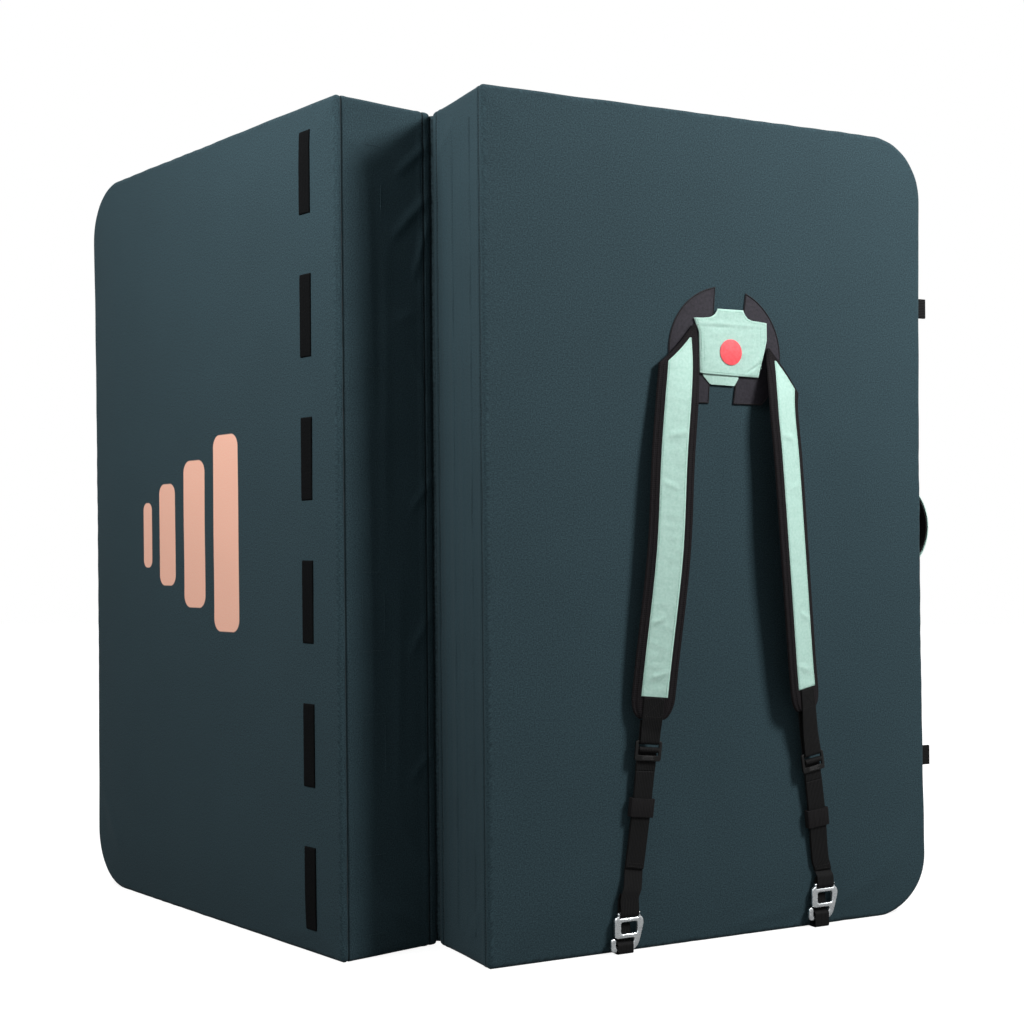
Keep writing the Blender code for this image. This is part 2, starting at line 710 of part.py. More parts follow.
def buildStrapWebbing(name, side, frame, strap):
    # Webbing sewn on the strap's end, looped round the ladder-lock's top bar
    upper, _ = lockBars(strap)
    radius = wrapRadius(lockBar, lockThickness)
    padEnd = strap["padEndShare"] * padHeight
    start = strap["facingEndShare"] * padHeight - clearance
    seat = padThickness / 2 + clearance + webbingThickness / 2
    drop = padEnd - 2 * clearance - upper
    path = [(start, seat), (padEnd, seat), (padEnd - drop / 2, radius), (upper, radius)]
    path += arc((upper, 0), radius, 0.5 * math.pi, 1.5 * math.pi, wrapSteps)[1:]
    path.append((padEnd - webbingThickness, -radius))
    origin = sum(seamAxis(side, strap), Vector()) / 2
    mesh = strip(dense(path, webbingStep), webbingThickness, webbing / 2, heldPlace(side, strap), split=True)
    addPiece(f"{name}_strap_webbing", mesh, "webbing_black", frame, origin)


def buildLock(name, side, frame, strap):
    # Ladder-lock buckle: a frame with a top bar, a middle bar and a wider lip
    rigid = rigidPlace(strapPlace(side, strap), strap["lockShare"] * padHeight)
    half, top = lockWidth / 2, lockHeight / 2
    opening = (webbing + slotPlay) / 2
    turn = lockCorner
    outline = (arc((turn - half, turn - top), turn, math.pi, 1.5 * math.pi, 3)
               + arc((half - turn, turn - top), turn, -0.5 * math.pi, 0, 3)
               + arc((half - turn, top - turn), turn, 0, 0.5 * math.pi, 3)
               + arc((turn - half, top - turn), turn, 0.5 * math.pi, math.pi, 3))
    first = top - lockBar
    second = first - lockUpperSlot - lockBar
    holes = [rectangle(-opening, first - lockUpperSlot, opening, first),
             rectangle(-opening, second - lockLowerSlot, opening, second)]
    mesh = plate(outline, holes, -lockThickness / 2, lockThickness / 2, rigid)
    origin = rigid(0, top - lockBar / 2, 0)
    addPiece(f"{name}_ladder_lock", mesh, "buckle_plastic", frame, origin, smooth=False)


def hookHeight(strap):
    # Height of the middle of the hook's webbing bar
    below = hookBar / 2 + hookSlot + hookCrossBar + hookWindowHeight + hookLowerBar + hookMouth + hookFoot
    return below + anchorThickness + 2 * stitchGap + strap["hookRise"]


def hookLift():
    # Distance of the hook's middle plane from the ground face, over the anchor loop
    return wrapRadius(hookBar, hookThickness) + webbingThickness / 2 + stitchGap


def strapOut(strap, height, lift):
    # Distance out from the strap's centre surface of a lift over the ground face
    return lift - strapBaseLift - strapBow * smoothValue(strap["bowShares"], height / padHeight)


def buildAdjusterWebbing(name, side, frame, strap):
    # Webbing from the hook to the ladder-lock, laced round its middle bar and back down to its tail end
    place = heldPlace(side, strap)
    _, middle = lockBars(strap)
    radius = wrapRadius(lockBar, lockThickness)
    tailOut = -lockThickness / 2 - clearance - webbingThickness / 2
    loadOut = tailOut - runSpacing
    lockFoot = strap["lockShare"] * padHeight - lockHeight / 2
    bar, lift = hookHeight(strap), hookLift()
    barRadius = wrapRadius(hookBar, hookThickness)
    lead = strap["tailShare"] * padHeight
    sewn = min(webbing, (lead - bar) * sewnShare)
    back = strapOut(strap, bar, lift)
    path = [(lead, tailOut), (lockFoot, tailOut), (middle - radius - webbingThickness, tailOut)]
    path += arc((middle, 0), radius, 1.12 * math.pi, -0.5 * math.pi, 2 * wrapSteps)
    path += [(middle - radius / 2, loadOut * 0.94), (lockFoot, loadOut), (lead, loadOut)]
    path.append((bar + sewn, strapOut(strap, bar + sewn, lift) + barRadius * 0.7))
    path += arc((bar, back), barRadius, 0.5 * math.pi, 1.5 * math.pi, wrapSteps)
    path.append((bar + sewn * 0.9, strapOut(strap, bar + sewn, lift) - barRadius * 0.45))
    mesh = strip(dense(path, webbingStep), webbingThickness, webbing / 2, place, split=True)
    addPiece(f"{name}_adjuster_webbing", mesh, "webbing_black", frame, place(bar, back, 0))


def buildKeeper(name, side, frame, strap):
    # Keeper band round both runs of the adjuster webbing
    place = strapPlace(side, strap)
    height = strap["keeperShare"] * padHeight
    high = -lockThickness / 2 + stitchGap / 2
    low = high - clearance - 2 * webbingThickness - runSpacing - stitchGap / 2
    opening = webbing / 2 + clearance
    outline = rectangle(-keeperWidth / 2, low - keeperWall, keeperWidth / 2, high + keeperWall)
    hole = rectangle(-opening, low, opening, high)
    rigid = rigidPlace(place, height)
    mesh = plate(outline, [hole], -keeperHeight / 2, keeperHeight / 2, lambda x, y, z: rigid(x, z, y))
    addPiece(f"{name}_webbing_keeper", mesh, "webbing_black", frame, place(height, 0, 0), smooth=False)


def hookMesh(place):
    # Cast hook: a webbing slot, a window, and below it an open hook whose mouth is at the left
    top = hookBar / 2
    slotFoot = -top - hookSlot
    windowTop = slotFoot - hookCrossBar
    windowFoot = windowTop - hookWindowHeight
    mouthTop = windowFoot - hookLowerBar
    mouthFoot = mouthTop - hookMouth
    foot = mouthFoot - hookFoot
    half, turn = hookHalfWidth, hookShoulder
    tipLeft, tipRight = -hookTipOut, hookTip - hookTipOut
    outline = (
        arc((turn - half, top - turn), turn, 0.5 * math.pi, math.pi, 3)
        + [(-half, windowFoot)]
        + arc((turn - half, mouthTop + turn), turn, math.pi, 1.5 * math.pi, 3)
        + [(hookLegIn, mouthTop), (hookLegIn, mouthFoot), (tipRight, mouthFoot)]
        + [(tipRight, mouthFoot + hookTipRise)]
        + arc(((tipLeft + tipRight) / 2, mouthFoot + hookTipRise), hookTip / 2, 0.25 * math.pi, 0.75 * math.pi, 2)
        + [(tipLeft, mouthFoot + hookTipRise)]
        + arc((tipLeft + turn, foot + turn), turn, math.pi, 1.5 * math.pi, 3)
        + arc((hookLegIn, foot + hookFoot + hookTip), hookFoot + hookTip, -0.5 * math.pi, -0.2 * math.pi, 3)
        + [(hookLegOut, windowFoot + turn)]
        + arc((half - turn, top - turn), turn, 0, 0.5 * math.pi, 3)
    )
    slotHalf = (webbing + slotPlay) / 2
    holes = [rectangle(-slotHalf, slotFoot, slotHalf, -top),
             rectangle(-hookWindow, windowFoot, hookWindow, windowTop)]
    return plate(outline, holes, -hookThickness / 2, hookThickness / 2, place)


def buildHook(name, side, frame, strap):
    # Cast hook hung on the adjuster webbing and hooked in the anchor loop
    centre = hookCentre(strap)
    height, depth = hookHeight(strap), panelThickness + hookLift()
    mesh = hookMesh(lambda x, y, z: panelPoint(side, centre + x, depth + z, height + y))
    addPiece(f"{name}_strap_hook", mesh, "hook_metal", frame, panelPoint(side, centre, depth, height), smooth=False)


def faceDrop(inset):
    # How far the ground face lies under its flat middle, at an inset from the panel's outline
    for (i0, d0), (i1, d1) in zip(sideProfile(0)[3:], sideProfile(0)[4:]):
        if i0 <= inset <= i1:
            return panelThickness - d0 - (d1 - d0) * (inset - i0) / (i1 - i0)


def buildAnchor(name, side, frame, strap):
    # Webbing loop sewn in the foot seam: before the hook's foot, through its mouth and up behind its window
    middle = hookCentre(strap) + (hookTip - hookTipOut + hookLegIn) / 2
    half, bend = anchorThickness / 2, anchorThickness
    bar, lift = hookHeight(strap), hookLift()
    mouthTop = bar - hookBar / 2 - hookSlot - hookCrossBar - hookWindowHeight - hookLowerBar
    mouth = mouthTop - hookMouth / 2
    front = lift + hookThickness / 2 + stitchGap + half
    behind = lift - hookThickness / 2 - stitchGap - half
    foot, seat = half + clearance, half + 3 * clearance
    top = mouthTop + hookLowerBar + hookWindowHeight / 2
    fold = half + clearance / 2
    path = [(foot, 2 * clearance - faceDrop(foot + half)), (foot, front - bend), (foot + bend / 2, front),
            (mouth - bend, front), (mouth, front - bend), (mouth + bend, behind + bend),
            (mouth + 3 * bend, behind), (top, behind)]
    path += arc((top, behind - fold), fold, 0.5 * math.pi, -0.5 * math.pi, 4)[1:]
    path += [(height, seat - faceDrop(height)) for height in (2 * edgeRound, foot + 2 * seat)]
    mesh = strip(path, anchorThickness, anchorWidth / 2,
                 lambda height, out, across: panelPoint(side, middle + across, panelThickness + out, height))
    addPiece(f"{name}_anchor_loop", mesh, "webbing_black", frame)


def buildTabs(side, frame):
    # Webbing loops sewn on the free edge beside the ground face
    for name, share in zip(("upper", "lower"), tabShares):
        height = share * padHeight
        edge = freeEdge(height) + clearance
        depth = panelThickness - tabInset
        spacing = (tabGap + webbingThickness) / 2
        far = edge + tabReach - webbingThickness / 2 - spacing
        path = [(edge, spacing)] + arc((far, 0), spacing, 0.5 * math.pi, -0.5 * math.pi, 6) + [(edge, -spacing)]
        mesh = strip(path, webbingThickness, webbing / 2,
                     lambda across, out, along: panelPoint(side, across, depth + out, height + along))
        addPiece(f"{name}_closure_tab", mesh, "webbing_black", frame)


def buildClosure(name, side, frame, share):
    # Closure strap that hangs on the free edge with a hook at its lower end
    top = share * padHeight
    bar = top - closureLength
    depth = panelThickness - closureInset
    edge = max(freeEdge(top), freeEdge(bar)) + clearance
    radius = wrapRadius(hookBar, hookThickness)
    lift = radius + webbingThickness / 2 + clearance
    sewn = webbingThickness / 2 + clearance - edge
    path = [(top, sewn + freeEdge(top)), (top - webbing, sewn + freeEdge(top - webbing)),
            (bar + webbing, lift + radius / 2)]
    path += arc((bar, lift), radius, 0.5 * math.pi, 1.5 * math.pi, wrapSteps)
    path.append((bar + webbing * 0.9, lift - radius * 0.55))
    mesh = strip(path, webbingThickness, webbing / 2,
                 lambda height, out, across: panelPoint(side, edge + out, depth + across, height))
    origin = panelPoint(side, edge + sewn + freeEdge(top), depth, top)
    addPiece(f"{name}_closure_strap", mesh, "webbing_black", frame, origin)
    hook = hookMesh(lambda x, y, z: panelPoint(side, edge + lift + z, depth + x, bar + y))
    addPiece(f"{name}_closure_hook", hook, "hook_metal", frame, panelPoint(side, edge + lift, depth, bar),
             smooth=False)


def buildHandle(side, frame):
    # Carry handle: webbing sewn on the free edge, with a mint outer layer and a black inner layer as its grip
    height = padHeight / 2
    depth = panelThickness / 2
    sewn = webbingThickness / 2 + clearance
    centre = handleReach - handleRadius
    foot = math.asin((sewn - centre) / handleRadius)
    base = handleRadius * math.cos(foot)
    edge = freeEdge(height)
    tabEdge = freeEdge(height + base + handleTab) - edge
    webbingPath = [(-base - handleTab, sewn + tabEdge), (-base, sewn + tabEdge / 2)]
    webbingPath += arc((0, centre), handleRadius, math.pi - foot, foot, handleSteps)[1:-1]
    webbingPath += [(base, sewn + tabEdge / 2), (base + handleTab, sewn + tabEdge)]

    def place(along, out, across):
        return panelPoint(side, edge + out, depth + across, height + along)

    mesh = strip(webbingPath, webbingThickness, webbing / 2, place)
    addPiece("carry_handle_webbing", mesh, "webbing_black", frame)
    offset = (webbingThickness + handleLayer) / 2 + clearance
    start, end = 0.5 * math.pi - handleGripAngle, 0.5 * math.pi + handleGripAngle
    origin = panelPoint(side, edge + sewn, depth, height)
    for name, radius, material in (("outer", handleRadius + offset, "mint_fabric"),
                                   ("inner", handleRadius - offset, "strap_mesh")):
        path = arc((0, centre), radius, end, start, handleSteps)
        layer = strip(path, handleLayer, handleWidth / 2, place)
        addPiece(f"carry_handle_{name}", layer, material, frame, origin)


def centreOnBounds(frames):
    # Moves the frames so that the box round the whole pad stands centred on the origin
    bpy.context.view_layer.update()
    corners = [piece.matrix_world @ Vector(corner) for piece in bpy.data.objects if piece.type == "MESH"
               for corner in piece.bound_box]
    points = [piece.matrix_world @ vert.co for piece in bpy.data.objects if piece.type == "MESH"
              for vert in piece.data.vertices]
    middle = [(min(p[i] for p in points) + max(p[i] for p in points)) / 2 for i in range(2)]
    foot = min(corner.z for corner in corners)
    for frame in frames:
        frame.location -= Vector((middle[0], middle[1], foot))
    bpy.context.view_layer.update()


def main():
    for item in list(bpy.data.objects):
        bpy.data.objects.remove(item, do_unlink=True)
    turn = (math.pi - foldAngle) / 2
    frames = {}
    for name, side, angle in (("right_panel", 1, turn), ("left_panel", -1, math.pi - turn)):
        frame = bpy.data.objects.new(f"{name}_frame", None)
        bpy.context.collection.objects.link(frame)
        frame.rotation_euler.z = angle
        frames[name] = frame
        short = name.split("_")[0]
        buildCover(short, side, frame)
        buildFoams(short, side, frame)
        buildZip(short, side, frame)
        buildHingeFlap(short, side, frame, side > 0)
    buildStrips(-1, frames["left_panel"])
    for name, share in zip(("upper", "lower"), closureShares):
        buildClosure(name, -1, frames["left_panel"], share)
    buildYoke(1, frames["right_panel"])
    for name, strap in straps.items():
        for build in (buildStrapPad, buildStrapWebbing, buildLock, buildAdjusterWebbing, buildKeeper, buildHook,
                      buildAnchor):
            build(name, 1, frames["right_panel"], strap)
    buildTabs(1, frames["right_panel"])
    buildHandle(1, frames["right_panel"])
    centreOnBounds(frames.values())


main()
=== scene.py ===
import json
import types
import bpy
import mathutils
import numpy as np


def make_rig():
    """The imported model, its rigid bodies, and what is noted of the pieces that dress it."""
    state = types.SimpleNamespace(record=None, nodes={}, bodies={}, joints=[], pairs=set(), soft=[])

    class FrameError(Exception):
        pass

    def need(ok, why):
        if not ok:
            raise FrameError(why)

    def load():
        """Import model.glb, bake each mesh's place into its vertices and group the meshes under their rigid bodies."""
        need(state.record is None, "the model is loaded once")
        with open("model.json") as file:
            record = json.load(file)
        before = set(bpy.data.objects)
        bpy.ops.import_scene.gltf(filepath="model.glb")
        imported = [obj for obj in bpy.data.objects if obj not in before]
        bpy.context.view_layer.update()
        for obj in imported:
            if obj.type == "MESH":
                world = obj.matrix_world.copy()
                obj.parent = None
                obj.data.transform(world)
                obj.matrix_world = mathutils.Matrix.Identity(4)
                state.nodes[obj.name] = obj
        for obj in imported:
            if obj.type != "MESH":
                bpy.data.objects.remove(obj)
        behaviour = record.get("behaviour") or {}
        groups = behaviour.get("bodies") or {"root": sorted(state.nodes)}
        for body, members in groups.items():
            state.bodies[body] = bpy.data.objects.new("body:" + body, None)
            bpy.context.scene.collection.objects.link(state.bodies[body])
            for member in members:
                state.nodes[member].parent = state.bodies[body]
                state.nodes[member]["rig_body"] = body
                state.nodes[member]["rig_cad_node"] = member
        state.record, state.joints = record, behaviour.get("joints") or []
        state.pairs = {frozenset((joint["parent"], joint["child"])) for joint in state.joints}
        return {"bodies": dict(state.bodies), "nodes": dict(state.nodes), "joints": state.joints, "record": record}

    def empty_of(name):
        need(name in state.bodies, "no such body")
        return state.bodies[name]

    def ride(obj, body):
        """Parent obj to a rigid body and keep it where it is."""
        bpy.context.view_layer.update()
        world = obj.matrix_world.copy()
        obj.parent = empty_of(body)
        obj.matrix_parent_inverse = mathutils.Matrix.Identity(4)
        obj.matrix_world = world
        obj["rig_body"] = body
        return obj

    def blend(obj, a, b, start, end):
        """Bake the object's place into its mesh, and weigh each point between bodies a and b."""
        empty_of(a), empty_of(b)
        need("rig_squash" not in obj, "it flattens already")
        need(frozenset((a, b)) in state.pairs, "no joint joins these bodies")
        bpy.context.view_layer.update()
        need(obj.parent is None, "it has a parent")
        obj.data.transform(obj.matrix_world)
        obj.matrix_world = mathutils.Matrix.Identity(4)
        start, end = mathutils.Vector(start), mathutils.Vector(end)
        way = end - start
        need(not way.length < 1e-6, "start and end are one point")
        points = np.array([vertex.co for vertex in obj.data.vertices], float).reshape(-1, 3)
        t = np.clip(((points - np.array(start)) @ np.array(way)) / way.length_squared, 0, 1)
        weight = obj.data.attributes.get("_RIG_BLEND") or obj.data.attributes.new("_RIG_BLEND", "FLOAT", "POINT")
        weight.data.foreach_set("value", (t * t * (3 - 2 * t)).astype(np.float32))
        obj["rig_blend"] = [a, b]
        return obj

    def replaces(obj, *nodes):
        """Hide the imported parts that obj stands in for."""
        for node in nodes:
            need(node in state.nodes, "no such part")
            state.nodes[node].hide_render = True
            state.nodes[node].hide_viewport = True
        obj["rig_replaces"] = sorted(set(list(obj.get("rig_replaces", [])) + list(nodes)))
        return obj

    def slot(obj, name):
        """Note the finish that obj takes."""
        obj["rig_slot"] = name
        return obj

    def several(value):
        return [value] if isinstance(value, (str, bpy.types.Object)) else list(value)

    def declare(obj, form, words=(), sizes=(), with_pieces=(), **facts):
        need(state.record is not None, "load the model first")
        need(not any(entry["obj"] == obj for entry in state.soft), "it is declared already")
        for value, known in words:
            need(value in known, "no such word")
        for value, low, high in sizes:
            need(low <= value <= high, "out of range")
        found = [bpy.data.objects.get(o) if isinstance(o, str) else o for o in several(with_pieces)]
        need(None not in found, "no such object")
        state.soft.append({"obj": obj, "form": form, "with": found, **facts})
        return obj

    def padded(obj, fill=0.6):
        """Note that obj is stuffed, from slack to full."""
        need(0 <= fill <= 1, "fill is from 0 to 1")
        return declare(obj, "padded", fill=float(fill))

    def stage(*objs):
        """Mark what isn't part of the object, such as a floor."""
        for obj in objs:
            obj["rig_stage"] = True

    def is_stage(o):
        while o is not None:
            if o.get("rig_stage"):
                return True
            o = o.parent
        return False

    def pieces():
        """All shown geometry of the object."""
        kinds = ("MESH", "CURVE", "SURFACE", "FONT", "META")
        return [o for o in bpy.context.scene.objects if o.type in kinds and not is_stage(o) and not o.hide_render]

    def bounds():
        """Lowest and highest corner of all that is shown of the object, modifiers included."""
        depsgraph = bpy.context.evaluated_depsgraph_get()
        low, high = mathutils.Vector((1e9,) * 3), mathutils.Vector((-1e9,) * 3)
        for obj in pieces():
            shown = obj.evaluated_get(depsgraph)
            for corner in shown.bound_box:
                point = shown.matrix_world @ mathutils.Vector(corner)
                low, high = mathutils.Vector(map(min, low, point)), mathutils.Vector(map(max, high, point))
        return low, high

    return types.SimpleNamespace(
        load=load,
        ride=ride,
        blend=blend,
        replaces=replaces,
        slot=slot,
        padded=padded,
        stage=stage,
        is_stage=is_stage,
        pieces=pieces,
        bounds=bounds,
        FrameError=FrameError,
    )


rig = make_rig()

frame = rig.load()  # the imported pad: its bodies, nodes, joints and record

import json
import math

import bmesh
import bpy
import numpy as np
from mathutils import Matrix, Vector

cadBox = [list(corner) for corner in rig.bounds()]
hinge = np.array(next(j for j in frame["joints"] if j["name"] == "panel_fold")["pos_m"])

# The pad's sizes in metres, as the solids have them, and the turn of each panel from the X axis in degrees
pad = {"height": 1.0, "width": 0.634, "thickness": 0.1395, "standOff": 0.0016, "edgeStandOff": 0.0005,
       "turn": 38.41, "freeCorner": 0.078, "seamCorner": 0.005, "edgeRound": 0.006, "crown": 0.003,
       "crownRun": 0.090, "drawIn": 0.005}
clear = 0.0003  # the gap between cloths that lie on each other, in metres


# Helpers for places and meshes
def toLinear(code):
    # sRGB hex to linear: c / 12.92 below 0.04045, else ((c + 0.055) / 1.055) to the power 2.4
    values = np.array([int(code[i:i + 2], 16) for i in (0, 2, 4)]) / 255
    linear = np.where(values <= 0.04045, values / 12.92, ((values + 0.055) / 1.055) ** 2.4)
    return [*map(float, linear), 1.0]


def panelPoints(side, across, depth, height):
    # A panel's (across, depth, height) as world points: turned by the panel's angle about the fold's axis
    angle = math.radians(pad["turn"] if side > 0 else 180 - pad["turn"])
    x = np.asarray(across, float) + pad["edgeStandOff"]
    y = -side * (np.asarray(depth, float) + pad["standOff"])
    x, y, z = np.broadcast_arrays(x, y, np.asarray(height, float))
    return np.stack([hinge[0] + x * math.cos(angle) - y * math.sin(angle),
                     hinge[1] + x * math.sin(angle) + y * math.cos(angle), z], -1)


def panelAxes(side):
    # World directions of a panel: across, outwards from its ground face, up
    start = panelPoints(side, 0, 0, 0)
    return (panelPoints(side, 1, 0, 0) - start, panelPoints(side, 0, 1, 0) - start, np.array([0, 0, 1.0]))


def drawnIn(across, height):
    # The free edge drawn in: across less draw times 4h(1 - h) times the square of the share across
    share = np.clip(height / pad["height"], 0, 1)
    return across - pad["drawIn"] * 4 * share * (1 - share) * (across / pad["width"]) ** 2


def smoothTable(table, at):
    # Cubic Hermite through the table's pairs, each slope taken between its neighbours
    x, y = np.array(sorted(table)).T
    before, after = np.maximum(np.arange(len(x)) - 1, 0), np.minimum(np.arange(len(x)) + 1, len(x) - 1)
    slope = (y[after] - y[before]) / (x[after] - x[before])
    at = np.clip(at, x[0], x[-1])
    i = np.clip(np.searchsorted(x, at, side="right") - 1, 0, len(x) - 2)
    run = x[i + 1] - x[i]
    s = (at - x[i]) / run
    return ((1 + 2 * s) * (1 - s) ** 2 * y[i] + s * (1 - s) ** 2 * run * slope[i]
            + s * s * (3 - 2 * s) * y[i + 1] + s * s * (s - 1) * run * slope[i + 1])


def waves(u, v, count, longest, seed):
    # Mean of sine waves over (u, v), with seeded directions, phases and lengths
    rng = np.random.default_rng(seed)
    total = 0
    for i in range(count):
        angle, phase = rng.uniform(0, math.pi), rng.uniform(0, 2 * math.pi)
        length = longest * rng.uniform(0.45, 1.0)
        total = total + np.sin(2 * math.pi * (u * math.cos(angle) + v * math.sin(angle)) / length + phase)
    return total / count


def addObject(name, verts, faces, material, uv=None, merge=0.0, outward=True):
    # A mesh object from world points and faces, with loop UVs in metres, its faces turned outwards
    data = bpy.data.meshes.new(name)
    data.from_pydata(np.asarray(verts, float).reshape(-1, 3), [], faces)
    if uv is not None:
        layer = data.uv_layers.new(name="cloth")
        layer.data.foreach_set("uv", np.asarray(uv, np.float32).ravel())
    if merge or outward:
        shape = bmesh.new()
        shape.from_mesh(data)
        if merge:
            bmesh.ops.remove_doubles(shape, verts=shape.verts[:], dist=merge)
        if outward:
            bmesh.ops.recalc_face_normals(shape, faces=shape.faces[:])
            if shape.calc_volume(signed=True) < 0:
                bmesh.ops.reverse_faces(shape, faces=shape.faces[:])
        shape.to_mesh(data)
        shape.free()
    data.shade_smooth()
    data.materials.append(material)
    made = bpy.data.objects.new(name, data)
    bpy.context.collection.objects.link(made)
    return made


def gridFaces(rows, columns, wrap):
    # Quads of a rows by columns grid of points, joined round the columns where wrap is true
    last = columns if wrap else columns - 1
    r, c = np.meshgrid(np.arange(rows - 1), np.arange(last), indexing="ij")
    n = (c + 1) % columns
    low, high = r * columns, (r + 1) * columns
    return np.stack([low + c, low + n, high + n, high + c], -1).reshape(-1, 4)


def pairs(*parts):
    # Arrays brought to one shape and joined along a new last axis, such as (u, v) for a grid of points
    return np.stack(np.broadcast_arrays(*parts), -1)


def closed(points):
    # The points with the first one again at the end
    return np.concatenate([points, points[:1]])


def cornersOf(grid, after):
    # The values at the corners of a grid's quads, for loop UVs; after is the number of each column's next one
    r, c = np.meshgrid(np.arange(len(grid) - 1), np.arange(len(after)), indexing="ij")
    n = after[c]
    return np.stack([grid[r, c], grid[r, n], grid[r + 1, n], grid[r + 1, c]], -2)


def sweep(name, points, material, uv):
    # Closed tube from a grid of points, rows along and columns round, each end closed by one face
    rows, columns = points.shape[:2]
    faces = gridFaces(rows, columns, True)
    loops = cornersOf(uv, np.arange(columns) + 1).reshape(-1, 2)
    caps, capUv = [], []
    for row, turn in ((0, -1), (rows - 1, 1)):
        ring = (row * columns + np.arange(columns))[::turn]
        caps.append(ring.tolist())
        capUv.append(uv[row, :columns][::turn])
    loops = np.concatenate([loops] + capUv)
    return addObject(name, points, faces.tolist() + caps, material, loops, merge=1e-7)


def along(path):
    # Distance along a path of points
    return np.concatenate([[0], np.cumsum(np.linalg.norm(np.diff(path, axis=0), axis=1))])


def resample(path, step):
    # The path with points every step along it
    length = along(path)
    count = max(int(round(length[-1] / step)), 1)
    at = np.linspace(0, length[-1], count + 1)
    return np.stack([np.interp(at, length, path[:, i]) for i in range(path.shape[1])], -1)


def normalsOf(path):
    # Unit normals of a flat path, on its left
    tangent = np.gradient(path, axis=0)
    tangent /= np.linalg.norm(tangent, axis=1)[:, None]
    return np.stack([-tangent[:, 1], tangent[:, 0]], -1)


def band(name, path, thickness, width, place, look="webbing"):
    # Band on a path of (along, out): a rounded flat section carried along it, then placed
    step, count = 0.0016, 14
    path = resample(np.asarray(path, float), step)
    half, thin = width / 2, thickness / 2
    top = np.linspace(-half + thin, half - thin, count)
    turn = np.radians([60, 20, -20, -60])
    bulge = half - thin + thin * np.cos(turn)
    across = np.concatenate([top, bulge, top[::-1], -bulge])
    out = np.concatenate([np.full(count, thin), thin * np.sin(turn)])
    out = np.concatenate([out, -out])
    flat = path[:, None] + normalsOf(path)[:, None] * out[None, :, None]
    points = place(flat[..., 0], flat[..., 1], np.broadcast_to(across, flat.shape[:2]))
    u = closed(across) * np.sign(closed(out) + 1e-9)
    return sweep(name, points, mats[look], pairs(u[None], along(path)[:, None]))


def beadShape(flat):
    # A bead of unit size: a tip, two rings of six and a tip, the rings at a distance flat from its middle
    turn = np.radians(np.arange(6) * 60)
    ring = np.stack([np.zeros(6), np.cos(turn) / 2, np.sin(turn) / 2], -1)
    return np.concatenate([[[-0.5, 0, 0]], ring + [-flat, 0, 0], ring + [flat, 0, 0], [[0.5, 0, 0]]])


def stitches(name, rows, material, pitch=0.0032, length=0.0024, thick=0.00055, lift=0.0002):
    # Thread along rows of (path, outward): at each pitch a short bead, about half sunk in the cloth
    beads = []
    for path, out in rows:
        path, out = np.asarray(path, float), np.asarray(out, float)
        fine = resample(np.concatenate([path, np.broadcast_to(out, path.shape)], 1), pitch)
        middle = (fine[1:, :3] + fine[:-1, :3]) / 2
        ahead = fine[1:, :3] - fine[:-1, :3]
        ahead /= np.linalg.norm(ahead, axis=1)[:, None] + 1e-12
        up = fine[1:, 3:] / np.linalg.norm(fine[1:, 3:], axis=1)[:, None]
        side = np.cross(up, ahead) * thick
        beads.append(np.stack([middle + up * lift, ahead * length, side, up * thick * 0.8], 1))
    return scatter(name, beadShape(0.3), np.concatenate(beads), material)


def scatter(name, shape, beads, material):
    # One closed shape of two rings of six and two tips, set at each bead's origin in its three directions
    verts = beads[:, None, 0] + np.einsum("vk,pkc->pvc", shape, beads[:, 1:])
    i = np.arange(6)
    j = (i + 1) % 6
    threes = np.concatenate([np.stack([np.zeros(6, int), 1 + j, 1 + i], -1),
                             np.stack([np.full(6, 13), 7 + i, 7 + j], -1)])
    fours = np.stack([1 + i, 1 + j, 7 + j, 7 + i], -1)
    step = 14 * np.arange(len(beads))[:, None, None]
    faces = (threes[None] + step).reshape(-1, 3).tolist() + (fours[None] + step).reshape(-1, 4).tolist()
    return addObject(name, verts.reshape(-1, 3), faces, material, outward=False)


def flatShape(name, loops, thickness, bevel, place, material, steps=3):
    # Plate with rounded edges from flat closed loops, holes among them, turned into a mesh and placed
    curve = bpy.data.curves.new(name + "_outline", "CURVE")
    curve.dimensions, curve.fill_mode = "2D", "BOTH"
    curve.extrude, curve.bevel_depth = thickness / 2 - bevel, bevel
    curve.bevel_resolution = steps
    for loop in loops:
        spline = curve.splines.new("POLY")
        spline.points.add(len(loop) - 1)
        flat = np.column_stack([np.asarray(loop, float), np.zeros(len(loop)), np.ones(len(loop))])
        spline.points.foreach_set("co", flat.ravel())
        spline.use_cyclic_u = True
    curve.offset = -bevel
    holder = bpy.data.objects.new(name + "_outline", curve)
    bpy.context.collection.objects.link(holder)
    bpy.context.view_layer.update()
    data = bpy.data.meshes.new_from_object(holder.evaluated_get(bpy.context.evaluated_depsgraph_get()))
    bpy.data.objects.remove(holder)
    verts = np.zeros(len(data.vertices) * 3)
    data.vertices.foreach_get("co", verts)
    flat = verts.reshape(-1, 3)
    faces = [list(polygon.vertices) for polygon in data.polygons]
    uv = np.concatenate([flat[face][:, :2] for face in faces])
    made = addObject(name, place(flat[:, 0], flat[:, 1], flat[:, 2]), faces, material, uv, merge=1e-6)
    made.data.set_sharp_from_angle(angle=math.radians(50))
    return made


def arcPoints(x, y, radius, start, end, steps):
    # Points of an arc about (x, y), angles in degrees
    angle = np.radians(np.linspace(start, end, steps + 1))
    return np.stack([x + radius * np.cos(angle), y + radius * np.sin(angle)], -1)


def roundedBox(left, foot, right, top, radius, steps):
    # Corner arcs of a rectangle, anticlockwise from its lower left corner
    return np.concatenate([arcPoints(left + radius, foot + radius, radius, 180, 270, steps),
                           arcPoints(right - radius, foot + radius, radius, 270, 360, steps),
                           arcPoints(right - radius, top - radius, radius, 0, 90, steps),
                           arcPoints(left + radius, top - radius, radius, 90, 180, steps)])


